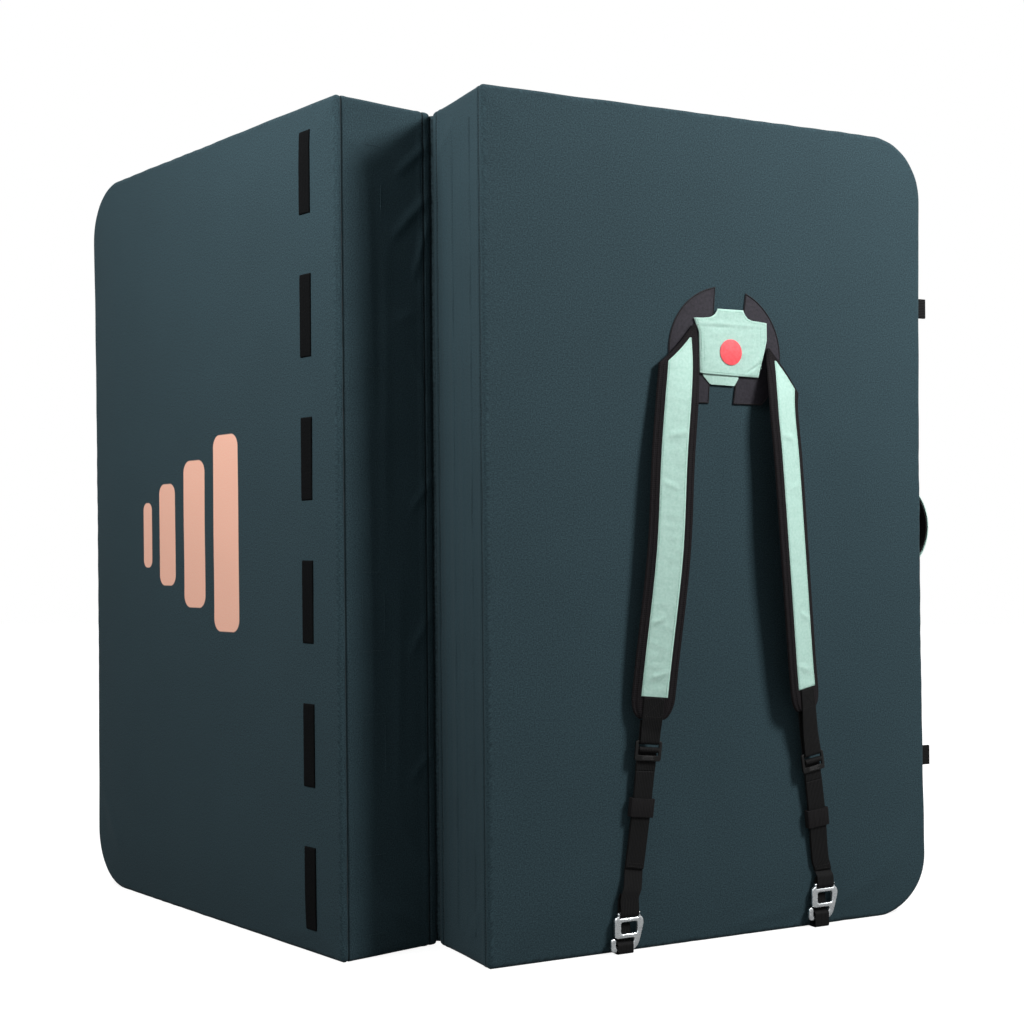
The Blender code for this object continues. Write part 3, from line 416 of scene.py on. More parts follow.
# Helpers for materials
def node(tree, kind, links=None, **settings):
    # Adds a node, sets its settings, and links or sets its inputs
    made = tree.nodes.new(kind)
    for name, value in settings.items():
        setattr(made, name, value)
    for key, value in (links or {}).items():
        if isinstance(value, bpy.types.NodeSocket):
            tree.links.new(value, made.inputs[key])
        else:
            made.inputs[key].default_value = value
    return made


def newMaterial(name, roughness, metallic=0.0, sheen=0.0, sheenRoughness=0.5, specular=0.5):
    # A Principled material with its plain values set on the shader's own sockets
    material = bpy.data.materials.new(name)
    material.use_nodes = True
    shader = material.node_tree.nodes["Principled BSDF"]
    shader.inputs["Roughness"].default_value = roughness
    shader.inputs["Metallic"].default_value = metallic
    shader.inputs["Sheen Weight"].default_value = sheen
    shader.inputs["Sheen Roughness"].default_value = sheenRoughness
    shader.inputs["Specular IOR Level"].default_value = specular
    return material, material.node_tree, shader


def noise(tree, vector, scale, detail, roughness=0.5):
    # Noise of the given scale, from 0 to 1
    values = {"Vector": vector, "Scale": scale, "Detail": detail, "Roughness": roughness}
    return node(tree, "ShaderNodeTexNoise", values).outputs["Fac"]


def remap(tree, value, low=0.0, high=1.0, to=(0.0, 1.0)):
    # A value carried in a straight line from low to high onto the range to
    values = {"Value": value, "From Min": low, "From Max": high, "To Min": to[0], "To Max": to[1]}
    return node(tree, "ShaderNodeMapRange", values).outputs["Result"]


def calc(tree, operation, *values):
    # One operation on numbers or sockets
    return node(tree, "ShaderNodeMath", dict(enumerate(values)), operation=operation).outputs[0]


def vectorCalc(tree, operation, *values):
    # One operation on vectors or sockets; a length is the node's second output
    made = node(tree, "ShaderNodeVectorMath", dict(enumerate(values)), operation=operation)
    return made.outputs["Value" if operation == "LENGTH" else 0]


def mixed(tree, factor, dark, light):
    # Two colours, each a socket or linear values, mixed by a factor: inputs seven and eight, and output three
    return node(tree, "ShaderNodeMix", {"Factor": factor, 6: dark, 7: light}, data_type="RGBA").outputs[2]


def mottled(tree, vector, dark, light, scale, detail=3.0, low=0.35, high=0.65):
    # Two colours mixed by noise of the given scale, and the noise
    grain = noise(tree, vector, scale, detail, 0.6)
    return mixed(tree, remap(tree, grain, low, high), toLinear(dark), toLinear(light)), grain


def threadBands(tree, vector, pitch, direction, distortion=0.0):
    # Sine bands, one each pitch: the wave texture's scale is a tenth of pi over the pitch
    values = {"Vector": vector, "Scale": 0.31416 / pitch, "Distortion": distortion, "Detail": 1.0}
    return node(tree, "ShaderNodeTexWave", values, bands_direction=direction).outputs["Fac"]


def weaveHeight(tree, vector, pitch):
    # Plain weave: two sine bands at right angles, one thread apart, multiplied
    return calc(tree, "MULTIPLY", *(threadBands(tree, vector, pitch, way, 0.4) for way in ("X", "Y")))


def bump(tree, shader, height, distance, strength=1.0, under=None):
    # Bump of a height in metres onto the shader's normal, over the bump under it if there is one
    links = {"Height": height, "Distance": distance, "Strength": strength}
    if under is not None:
        links["Normal"] = under
    made = node(tree, "ShaderNodeBump", links)
    tree.links.new(made.outputs["Normal"], shader.inputs["Normal"])
    return made.outputs["Normal"]


def uvVector(tree):
    # The piece's own UV map, in metres, as a vector
    return node(tree, "ShaderNodeUVMap", uv_map="cloth").outputs["UV"]


def objectVector(tree):
    # The piece's own coordinates
    return node(tree, "ShaderNodeTexCoord").outputs["Object"]


def mottledMaterial(name, dark, light, scale, detail, source, *values, **named):
    # A material whose colour is two tones mixed by noise over the coordinates of source
    material, tree, shader = newMaterial(name, *values, **named)
    vector = source(tree)
    colour, grain = mottled(tree, vector, dark, light, scale, detail)
    tree.links.new(colour, shader.inputs["Base Color"])
    return material, tree, shader, vector, grain


def roundedBars(tree, vector, bars):
    # Mask of rounded upright bars: for each, the length of max(|p - centre| - core, 0) less the radius
    edge = 0.0006
    nearest = None
    for x, y, halfWide, halfHigh, radius in bars:
        size = vectorCalc(tree, "ABSOLUTE", vectorCalc(tree, "SUBTRACT", vector, (x, y, 0)))
        past = vectorCalc(tree, "SUBTRACT", size, (halfWide - radius, halfHigh - radius, 1))
        far = vectorCalc(tree, "LENGTH", vectorCalc(tree, "MAXIMUM", past, (0, 0, 0)))
        far = calc(tree, "SUBTRACT", far, radius)
        nearest = far if nearest is None else calc(tree, "MINIMUM", nearest, far)
    return remap(tree, nearest, edge, -edge)


# Where the cover's side UVs begin, clear of its faces' UVs, and where its two seams lie in them, in metres; along
# these lines the cloth's colour is darkened as painted shade
wallUv = 2.0
seamShadeLines = (wallUv + 0.0115, wallUv + 0.1280)

# Print on the left panel, plain rounded bars of falling length
# Each has its across and height, half width and half height, and the radius of its corners
printBars = [(0.252, 0.498, 0.031, 0.125, 0.016), (0.334, 0.498, 0.028, 0.096, 0.016),
             (0.408, 0.498, 0.022, 0.068, 0.014), (0.464, 0.498, 0.012, 0.044, 0.010)]


def coverCloth(name, dark, light, printed=False):
    # Heathered woven polyester: a matt dark teal grey whose mixed yarns give fine pale flecks
    material, tree, shader = newMaterial(name, 0.86, sheen=0.03, sheenRoughness=0.45, specular=0.16)
    vector = uvVector(tree)
    colour, _ = mottled(tree, vector, dark, light, 620.0, 4.0, 0.32, 0.68)  # flecks of about 1.6 mm
    tone = remap(tree, noise(tree, vector, 9.0, 3.0), to=(0.93, 1.07))
    colour = vectorCalc(tree, "MULTIPLY", colour, tone)
    if printed:
        ink, _ = mottled(tree, vector, "FFBEA4", "FFCDB8", 700.0)
        colour = mixed(tree, roundedBars(tree, vector, printBars), colour, ink)
    depth = node(tree, "ShaderNodeSeparateXYZ", {0: vector}).outputs["Y"]
    for seam in seamShadeLines:  # the stitched seams draw the cloth into a groove; painted shade there: the colour falls to 0.35 within 0.6 mm of each seam and is full again at 1.8 mm
        off = calc(tree, "ABSOLUTE", calc(tree, "SUBTRACT", depth, seam))
        colour = vectorCalc(tree, "MULTIPLY", colour, remap(tree, off, 0.0006, 0.0018, (0.35, 1.0)))
    tree.links.new(colour, shader.inputs["Base Color"])
    first = bump(tree, shader, noise(tree, vector, 16.0, 2.0), 0.0014, 0.30)
    # threads of 0.5 mm, drawn at 1.1 mm so that they show
    bump(tree, shader, weaveHeight(tree, vector, 0.0011), 0.00012, 0.35, first)
    return material


def plainCloth(name, dark, light, pitch, roughness=0.8, folds=60.0, foldDepth=0.0008):
    # Plain woven nylon or polyester: an even colour, a visible grid of threads and small soft folds
    material, tree, shader, vector, _ = mottledMaterial(
        name, dark, light, 300.0, 5.0, uvVector, roughness, sheen=0.03, specular=0.2)
    first = bump(tree, shader, noise(tree, vector, folds, 3.0), foldDepth, 0.5)
    bump(tree, shader, weaveHeight(tree, vector, pitch), 0.0003, 0.6, first)
    return material


def ribbedWebbing(name, dark, light):
    # Woven polyester webbing: rows of ribs along its length, each crossed by the weft
    material, tree, shader, vector, _ = mottledMaterial(
        name, dark, light, 500.0, 4.0, uvVector, 0.78, specular=0.14)
    first = bump(tree, shader, threadBands(tree, vector, 0.0021, "X"), 0.0004, 0.8)
    bump(tree, shader, threadBands(tree, vector, 0.0013, "Y"), 0.00015, 0.5, first)
    return material


def spacerMesh(name, dark, light):
    # Knitted spacer mesh: a matt black fabric of small round holes
    material, tree, shader = newMaterial(name, 0.9, specular=0.12)
    cells = node(tree, "ShaderNodeTexVoronoi", {"Vector": uvVector(tree), "Scale": 420.0, "Randomness": 0.15})
    ramp = remap(tree, cells.outputs["Distance"], 0.15, 0.5)
    tree.links.new(mixed(tree, ramp, toLinear(dark), toLinear(light)), shader.inputs["Base Color"])
    bump(tree, shader, ramp, 0.0005, 0.7)
    return material


def grained(name, dark, light, scale, detail, source, depth, strength, *values, **named):
    # A mottled material with a bump of the given depth and strength by the same noise
    material, tree, shader, _, grain = mottledMaterial(
        name, dark, light, scale, detail, source, *values, **named)
    bump(tree, shader, grain, depth, strength)
    return material, tree, shader, grain


def loopPile(name, dark, light):
    # Hook-and-loop tape: a deep black pile of fine loops
    return grained(name, dark, light, 900.0, 5.0, uvVector, 0.0008, 0.9, 0.95, specular=0.05)[0]


def mouldedPlastic(name, colour, roughness=0.42):
    # Moulded acetal: near black, satin, with the fine grain of the mould
    material, tree, shader = newMaterial(name, roughness, specular=0.3)
    grain = noise(tree, objectVector(tree), 1500.0, 2.0)
    tint = vectorCalc(tree, "MULTIPLY", tuple(toLinear(colour)[:3]), remap(tree, grain, to=(0.85, 1.15)))
    tree.links.new(tint, shader.inputs["Base Color"])
    bump(tree, shader, grain, 0.0001, 0.3)
    return material


def castAluminium(name, dark, light, roughness):
    # Bead-blasted and anodised aluminium casting: a bright silver grey with soft highlights
    material, tree, shader, grain = grained(
        name, dark, light, 260.0, 5.0, objectVector, 0.00008, 0.2, roughness, metallic=1.0)
    rough = remap(tree, grain, to=(roughness - 0.06, roughness + 0.08))
    tree.links.new(rough, shader.inputs["Roughness"])
    return material


def softRubber(name, dark, light):
    # Soft moulded rubber: a bright coral red with a dull satin face
    return grained(name, dark, light, 240.0, 3.0, objectVector, 0.0001, 0.3, 0.5, specular=0.45)[0]


def foamBlock(name, dark, light, cell):
    # Cut polyether or polyethylene foam: open pores on a dull face
    material, tree, shader = newMaterial(name, 0.95, specular=0.2)
    cells = node(tree, "ShaderNodeTexVoronoi", {"Vector": objectVector(tree), "Scale": 1 / cell})
    pores = cells.outputs["Distance"]
    tree.links.new(mixed(tree, pores, toLinear(dark), toLinear(light)), shader.inputs["Base Color"])
    bump(tree, shader, pores, 0.0006, 0.6)
    return material


def twistedThread(name, dark, light):
    # Bonded polyester thread: slightly glossy, with a fine twist
    return grained(name, dark, light, 900.0, 3.0, objectVector, 0.0001, 0.4, 0.6, specular=0.2)[0]


mats = {
    "leftCover": coverCloth("heathered_polyester_printed", "1F2E34", "364C53", printed=True),
    "rightCover": coverCloth("heathered_polyester", "1F2E34", "364C53"),
    "flap": plainCloth("woven_hinge_polyester", "1F2E34", "364C53", 0.0012),
    "strip": loopPile("hook_and_loop_tape", "08090A", "131415"),
    "yokeBlack": plainCloth("black_pack_nylon", "1F1D23", "2D2A32", 0.0011, 0.7, 38.0, 0.0026),
    "mint": plainCloth("mint_pack_nylon", "ACD3C6", "BEDED3", 0.0010, 0.72),
    "mesh": spacerMesh("black_spacer_mesh", "100E0F", "1F1C1E"),
    "binding": ribbedWebbing("black_binding_tape", "0D0C0D", "181617"),
    "webbing": ribbedWebbing("black_polyester_webbing", "080808", "101011"),
    "buckle": mouldedPlastic("moulded_acetal", "070707"),
    "hook": castAluminium("anodised_cast_aluminium", "DADFE2", "EAEEEF", 0.27),
    "disc": softRubber("coral_rubber", "EE4850", "FB5860"),
    "thread": twistedThread("black_bonded_thread", "0D0C0D", "1A1819"),
    "greyThread": twistedThread("teal_bonded_thread", "2A3B41", "3D535B"),
    "mintThread": twistedThread("mint_bonded_thread", "9CC7B8", "B4DCCE"),
    "zipTape": plainCloth("woven_zip_tape", "1C2023", "282D31", 0.0009),
    "zipCoil": mouldedPlastic("nylon_zip_coil", "1B1E20", 0.35),
    "zipMetal": castAluminium("nickelled_zip_slider", "8F9598", "A7ADB0", 0.28),
    "landingFoam": foamBlock("closed_cell_foam", "2B2F31", "3A3F42", 0.0012),
    "coreFoam": foamBlock("open_cell_foam", "B9BEAE", "D2D6C8", 0.0020),
}
print("materials made:", len(mats))

for side in ("left", "right"):
    for layer, look in (("landing", "landingFoam"), ("core", "coreFoam"), ("base", "landingFoam")):
        block = frame["nodes"][f"{side}_{layer}_foam"]
        block.data.materials.clear()
        block.data.materials.append(mats[look])

# Covers: counts of points, then depths and widths of seams, puckers, billows and folds in metres
cover = {"faceRings": 28, "sideRings": 50, "freeSteps": 24, "seamSteps": 5, "shortRun": 104, "freeRun": 140,
         "hingeRun": 184, "seamDepth": 0.0115, "seamGroove": 0.0013, "grooveWide": 0.0009, "lip": 0.0005,
         "lipOff": 0.005, "lipWide": 0.0030, "pucker": 0.00035, "puckerWide": 0.010, "billow": 0.0007,
         "sideBillow": 0.0006, "edgePucker": 0.00018, "edgeWide": 0.018, "pole": 0.004, "deepest": 0.0008,
         "tight": 0.003, "creases": 0.7}


def outlineRing(inset):
    # Rounded rectangle moved in by inset: arcs at the corners, even runs between them, free edge drawn in
    shrink = 1 - inset / (pad["width"] / 2)
    small = max(pad["seamCorner"] - inset, 0.003 * shrink)
    large = max(pad["freeCorner"] - inset, 0.008 * shrink)
    left, right, foot, top = inset, pad["width"] - inset, inset, pad["height"] - inset
    arcs = [arcPoints(left + small, foot + small, small, 180, 270, cover["seamSteps"]),
            arcPoints(right - large, foot + large, large, 270, 360, cover["freeSteps"]),
            arcPoints(right - large, top - large, large, 0, 90, cover["freeSteps"]),
            arcPoints(left + small, top - small, small, 90, 180, cover["seamSteps"])]
    runs = [cover["shortRun"], cover["freeRun"], cover["shortRun"], cover["hingeRun"]]
    parts = []
    for i, arc in enumerate(arcs):
        share = np.linspace(0, 1, runs[i] + 1)[1:-1, None]
        parts += [arc, arc[-1] + (arcs[(i + 1) % 4][0] - arc[-1]) * share]
    points = np.concatenate(parts)
    return np.stack([drawnIn(points[:, 0], points[:, 1]), points[:, 1]], -1)


def crowned(inset):
    # Depth of the ground face at an inset from its edge: it falls by the crown times one less a quarter sine
    share = np.clip(inset / pad["crownRun"], 0, 1)
    return pad["thickness"] - pad["crown"] * (1 - np.sin(share * math.pi / 2))


def coverProfile():
    # Rows of inset, depth, the normal's inset and depth, and region, from landing face to ground face
    # The regions are 0 for the landing face, 1 for the side and 2 for the ground face
    thick, turn, small = pad["thickness"], pad["edgeRound"], cover["tight"]
    ease = np.linspace(0, 1, cover["faceRings"]) ** 1.7
    inset, landing = (start + (pad["width"] / 2 - cover["pole"] - start) * ease for start in (turn, small))
    ground = crowned(inset)
    base = ground[0]
    angle = np.radians([18, 36, 54, 72])
    sine, cosine = np.sin(angle), np.cos(angle)
    seam = cover["seamDepth"]
    near = np.array([-0.0032, -0.0016, -0.0008, 0, 0.0008, 0.0016, 0.0032])
    wall = np.linspace(small, base - turn, cover["sideRings"])
    depth = np.unique(np.round(np.concatenate([wall, seam + near, thick - seam + near]), 5))
    rows = [pairs(landing, 0, 0, -1, 0)[::-1],
            pairs(small - small * sine, small - small * cosine, -sine, -cosine, 1),
            pairs(0, depth, -1, 0, 1),
            pairs(turn - turn * sine, base - turn + turn * cosine, -sine, cosine, 1)[::-1],
            pairs(inset, ground, 0, 1, 2)]
    return np.concatenate(rows)


def creaseDepth(u, v, creases):
    # Soft folds added up: each a bell across its line, times the root of a sine along it so that it fades
    total = np.zeros(np.broadcast(u, v).shape)
    for u0, v0, u1, v1, size, wide in creases:
        du, dv = u1 - u0, v1 - v0
        share = ((u - u0) * du + (v - v0) * dv) / (du * du + dv * dv)
        near = np.clip(share, 0, 1)
        off = np.hypot(u - u0 - near * du, v - v0 - near * dv)
        total += size * np.exp(-(off / wide) ** 2) * np.sin(math.pi * np.clip(near * 0.9 + 0.05, 0, 1)) ** 0.5
    return total


# Folds of the hinge sides: depth and height of both ends, height of the fold and its width, in metres
hingeFolds = {
    "left": [(0.004, 0.962, 0.048, 0.922, 0.0024, 0.0045), (0.004, 0.900, 0.055, 0.846, 0.0026, 0.0050),
             (0.006, 0.868, 0.026, 0.800, 0.0018, 0.0045), (0.006, 0.020, 0.085, 0.058, 0.0020, 0.0055),
             (0.004, 0.235, 0.034, 0.205, 0.0018, 0.0045), (0.006, 0.080, 0.055, 0.150, 0.0018, 0.0060),
             (0.050, 0.020, 0.105, 0.110, 0.0014, 0.0070), (0.004, 0.560, 0.034, 0.520, 0.0015, 0.0045),
             (0.008, 0.660, 0.030, 0.705, 0.0014, 0.0045), (0.006, 0.400, 0.036, 0.350, 0.0015, 0.0050),
             (0.080, 0.925, 0.120, 0.955, 0.0012, 0.0060), (0.020, 0.760, 0.060, 0.742, 0.0010, 0.0060),
             (0.090, 0.900, 0.086, 0.640, 0.0010, 0.0060), (0.066, 0.840, 0.070, 0.480, 0.0009, 0.0070),
             (0.092, 0.560, 0.088, 0.160, 0.0010, 0.0060), (0.050, 0.440, 0.056, 0.180, 0.0009, 0.0070)],
    "right": [(0.027, 0.975, 0.030, 0.030, 0.0011, 0.0032), (0.040, 0.960, 0.042, 0.050, -0.0006, 0.0026),
              (0.052, 0.970, 0.054, 0.040, 0.0012, 0.0030), (0.064, 0.950, 0.066, 0.050, -0.0006, 0.0026),
              (0.077, 0.970, 0.078, 0.040, 0.0010, 0.0032), (0.101, 0.950, 0.104, 0.040, 0.0008, 0.0034),
              (0.010, 0.940, 0.060, 0.975, 0.0014, 0.0050), (0.080, 0.020, 0.120, 0.070, 0.0013, 0.0055)],
}
# Folds of the ground faces: across and height of both ends, height of the fold and its width
faceFolds = {
    "left": [(0.560, 0.060, 0.610, 0.130, 0.0012, 0.0090), (0.040, 0.030, 0.120, 0.016, 0.0010, 0.0070)],
    "right": [(0.540, 0.030, 0.604, 0.120, 0.0014, 0.0080), (0.480, 0.018, 0.560, 0.060, 0.0011, 0.0070),
              (0.590, 0.150, 0.622, 0.230, 0.0009, 0.0080), (0.330, 0.012, 0.430, 0.030, 0.0009, 0.0060),
              (0.600, 0.800, 0.625, 0.880, 0.0009, 0.0080)],
}


def buildCover(name, side, material):
    # Cover: the outline at each point of the profile, lifted along its normal by billows, puckers and folds
    profile = coverProfile()
    rings = np.stack([outlineRing(row[0]) for row in profile])
    base = outlineRing(0.02)
    ahead = np.roll(base, -1, 0) - np.roll(base, 1, 0)
    outward = np.stack([ahead[:, 1], -ahead[:, 0]], -1)
    outward /= np.linalg.norm(outward, axis=1)[:, None]
    distance = along(closed(outlineRing(0)))
    s = distance[:-1][None]
    inset, depth, region = profile[:, 0:1], profile[:, 1:2], profile[:, 4:5]
    across, height = rings[..., 0], rings[..., 1]
    seed = 11 if side > 0 else 23
    panel = "right" if side > 0 else "left"
    onSide, onGroundFace = region == 1, region == 2
    face = (region != 1) * np.clip(inset / 0.04, 0, 1)
    lift = face * cover["billow"] * waves(across, height, 9, 0.30, seed)
    lift = lift + onSide * cover["sideBillow"] * waves(s + 0 * depth, depth + 0 * s, 8, 0.12, seed + 1)
    for seam in (cover["seamDepth"], pad["thickness"] - cover["seamDepth"]):
        off = depth - seam
        lift = lift - onSide * cover["seamGroove"] * np.exp(-(off / cover["grooveWide"]) ** 2)
        beside = (np.abs(off) - cover["lipOff"]) / cover["lipWide"]
        lift = lift + onSide * cover["lip"] * np.exp(-beside ** 2)
        ripple = np.sin(s / 0.0052 + 2 * np.sin(s / 0.037)) * (0.5 + 0.5 * np.sin(s / 0.11 + seed))
        lift = lift + onSide * cover["pucker"] * ripple * np.exp(-np.abs(off) / cover["puckerWide"])
    onHinge = onSide * (across < 0.02)
    lift = lift + onHinge * cover["creases"] * creaseDepth(depth + 0 * s, height, hingeFolds[panel])
    lift = lift + onGroundFace * creaseDepth(across, height, faceFolds[panel])
    ripple = np.sin(s / 0.0105 + 3 * np.sin(s / 0.09)) * np.exp(-inset / cover["edgeWide"]) * onGroundFace
    lift = np.maximum(lift + cover["edgePucker"] * ripple, -cover["deepest"] - cover["seamGroove"] * onSide)
    points = rings + outward[None] * (-profile[:, 2:3, None]) * lift[..., None]
    deep = depth + profile[:, 3:4] * lift
    world = panelPoints(side, points[..., 0], deep, np.maximum(points[..., 1], 0.0))
    rows, columns = across.shape
    faces = gridFaces(rows, columns, True)
    # the landing face's UVs are mirrored, so that the print is on the ground face only
    flat = np.stack([np.where(region == 0, -across, across), height], -1)
    after = np.arange(columns) + 1
    flatUv = cornersOf(flat, after % columns)
    sideUv = cornersOf(pairs(distance[None], depth + wallUv), after)
    onFace = ((profile[:-1, 4] != 1) & (profile[1:, 4] != 1))[:, None, None, None]
    uv = np.concatenate([np.where(onFace, flatUv, sideUv).reshape(-1, 2), flat[0][::-1], flat[-1]])
    poles = [np.arange(columns)[::-1].tolist(), (np.arange(columns) + (rows - 1) * columns).tolist()]
    return addObject(name, world, faces.tolist() + poles, material, uv, merge=2e-5)


# Thread on the hinge sides, in metres: the seams' rows, the lines over the inner webbing and the boxes
hingeThread = {"apart": 0.0022, "foot": 0.012, "lineFoot": 0.030, "lines": (0.0535, 0.0565, 0.1015, 0.1045),
               "boxSides": (0.074, 0.105),
               "boxEnds": (0.948, 0.688, 0.523, 0.449, 0.357, 0.283, 0.119, 0.027),
               "boxRuns": ((0.873, 0.903), (0.377, 0.423), (0.213, 0.280)), "under": 0.0004}


def hingeStitching(name, side):
    # Rows of thread on a hinge side: the closing seams, then the lines and boxes that hold its inner webbing
    values, tall = hingeThread, pad["height"]
    edge = (cover["seamDepth"] - values["apart"], cover["seamDepth"] + values["apart"])
    seams = [*edge, *(pad["thickness"] - depth for depth in edge)]
    lines = [(depth, values["foot"], depth, tall - values["foot"]) for depth in seams]
    if side > 0:
        lines += [(depth, values["lineFoot"], depth, tall - values["lineFoot"]) for depth in values["lines"]]
    else:
        first, second = values["boxSides"]
        lines += [(first, height, second, height) for height in values["boxEnds"]]
        lines += [(depth, low, depth, high) for depth in values["boxSides"]
                  for low, high in values["boxRuns"]]
    rows, share = [], np.linspace(0, 1, 60)
    for depth0, foot, depth1, top in lines:
        depth, height = depth0 + (depth1 - depth0) * share, foot + (top - foot) * share
        rows.append((panelPoints(side, -values["under"] + 0 * share, depth, height), -panelAxes(side)[0]))
    return stitches(name, rows, mats["greyThread"], pitch=0.0034, length=0.0026, thick=0.0006, lift=0.0001)


covers = {}
for name, side in (("left", -1), ("right", 1)):
    made = buildCover(f"{name}_padded_cover", side, mats[f"{name}Cover"])
    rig.ride(made, f"{name}_panel")
    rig.replaces(made, f"{name}_cover")
    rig.slot(made, "cover_fabric")
    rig.padded(made, fill=1.0)
    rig.ride(hingeStitching(f"{name}_hinge_side_stitching", side), f"{name}_panel")
    covers[name] = made
print("covers made:", [len(c.data.polygons) for c in covers.values()])


def groundDepth(across, height):
    # Depth of the ground face at the distance to its nearest edge
    inset = np.minimum.reduce([across + 0 * height, pad["width"] - across + 0 * height, height + 0 * across,
                               pad["height"] - height + 0 * across])
    return crowned(inset)


# Hook-and-loop strips on the left panel
strip = {"length": 0.098, "width": 0.023, "thickness": 0.0013, "centre": 0.062, "top": 0.920, "pitch": 0.1686,
         "count": 6, "pile": 0.00025, "tuft": 0.006, "lift": 0.0002}


def buildStrip(index):
    # Tape: a low rounded slab on the ground face, its top roughened by a fine pile
    middle = strip["top"] - strip["pitch"] * index
    u, v = np.linspace(-1, 1, 27), np.linspace(-1, 1, 99)[:, None]
    wide, long = u[None] * strip["width"] / 2, v * strip["length"] / 2
    high = (1 - np.abs(u)[None] ** 14) * (1 - np.abs(v) ** 40)
    pile = strip["pile"] * waves(wide, long, 7, strip["tuft"], 31 + index)
    across, height = strip["centre"] + wide, middle + long
    under = groundDepth(across, height) + strip["lift"]
    top = panelPoints(-1, across, under + high ** 0.5 * (strip["thickness"] + pile), height)
    bottom = panelPoints(-1, across, under, height)
    verts = np.concatenate([top.reshape(-1, 3), bottom.reshape(-1, 3)])
    rows, columns = top.shape[:2]
    faces = gridFaces(rows, columns, False)
    border = np.concatenate([np.arange(columns), columns * np.arange(1, rows) + columns - 1,
                             (rows - 1) * columns + np.arange(columns - 2, -1, -1),
                             columns * np.arange(rows - 2, 0, -1)])
    after, down = np.roll(border, -1), rows * columns
    wall = np.stack([border, after, after + down, border + down], -1)
    allFaces = np.concatenate([faces, faces[:, ::-1] + down, wall])
    flat = pairs(across, height).reshape(-1, 2)
    uv = np.concatenate([flat, flat])[allFaces.ravel()]
    made = addObject(f"loop_tape_{index + 1}", verts, allFaces.tolist(), mats["strip"], uv, merge=1e-6)
    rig.ride(made, "left_panel")
    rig.replaces(made, f"hook_and_loop_strip_{index + 1}")


for index in range(strip["count"]):
    buildStrip(index)
print("strips made")

# Fabric hinge between the landing faces
flap = {"width": 0.045, "margin": 0.0035, "thickness": 0.0008, "rows": 160, "cord": 0.0011, "past": 40,
        "reach": 0.004, "bend": 0.003}


def buildHinge():
    # Hinge cloth: over the right landing face, round the cord on the fold's axis, over the left landing face
    gap = pad["standOff"] - clear - flap["thickness"] / 2
    reach = np.linspace(flap["width"], flap["reach"], 10)
    right = panelPoints(1, reach - pad["edgeStandOff"], gap - pad["standOff"], 0)
    left = panelPoints(-1, reach[::-1] - pad["edgeStandOff"], gap - pad["standOff"], 0)
    first = pad["turn"] + 90 - flap["past"]
    middle = arcPoints(hinge[0], hinge[1], flap["cord"], first, 180 - first, 4)
    middle = np.column_stack([middle, np.zeros(5)])
    path = resample(np.concatenate([right, middle, left])[:, :2], 0.0012)
    normal, thin = normalsOf(path), flap["thickness"] / 2
    ring = np.concatenate([path + normal * thin, (path - normal * thin)[::-1]])
    heights = np.linspace(flap["margin"], pad["height"] - flap["margin"], flap["rows"])
    points = pairs(ring[None, :, 0], ring[None, :, 1], heights[:, None])
    length = along(path)
    u = np.concatenate([length, length[::-1], length[:1]])
    made = sweep("hinge_cloth", points, mats["flap"], pairs(u[None], heights[:, None]))
    start, end = (hinge + panelAxes(side)[0] * flap["bend"] for side in (1, -1))
    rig.blend(made, "right_panel", "left_panel", start=tuple(start), end=tuple(end))
    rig.replaces(made, "right_hinge_flap", "left_hinge_flap")
    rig.slot(made, "flap_fabric")


buildHinge()
print("hinge made")

# Zips in the tops of the covers
zipper = {"start": 0.070, "length": 0.430, "width": 0.0114, "thickness": 0.0007, "pitch": 0.0018,
          "slit": 0.0016, "ends": 0.0004, "coilEnds": 0.003, "coilOff": 0.0006,
          "bead": (0.0021, 0.0012, 0.0011), "slider": 0.012, "sliderRise": 0.0021, "sliderThick": 0.0014,
          "pullRise": 0.0026, "pullThick": 0.0010}


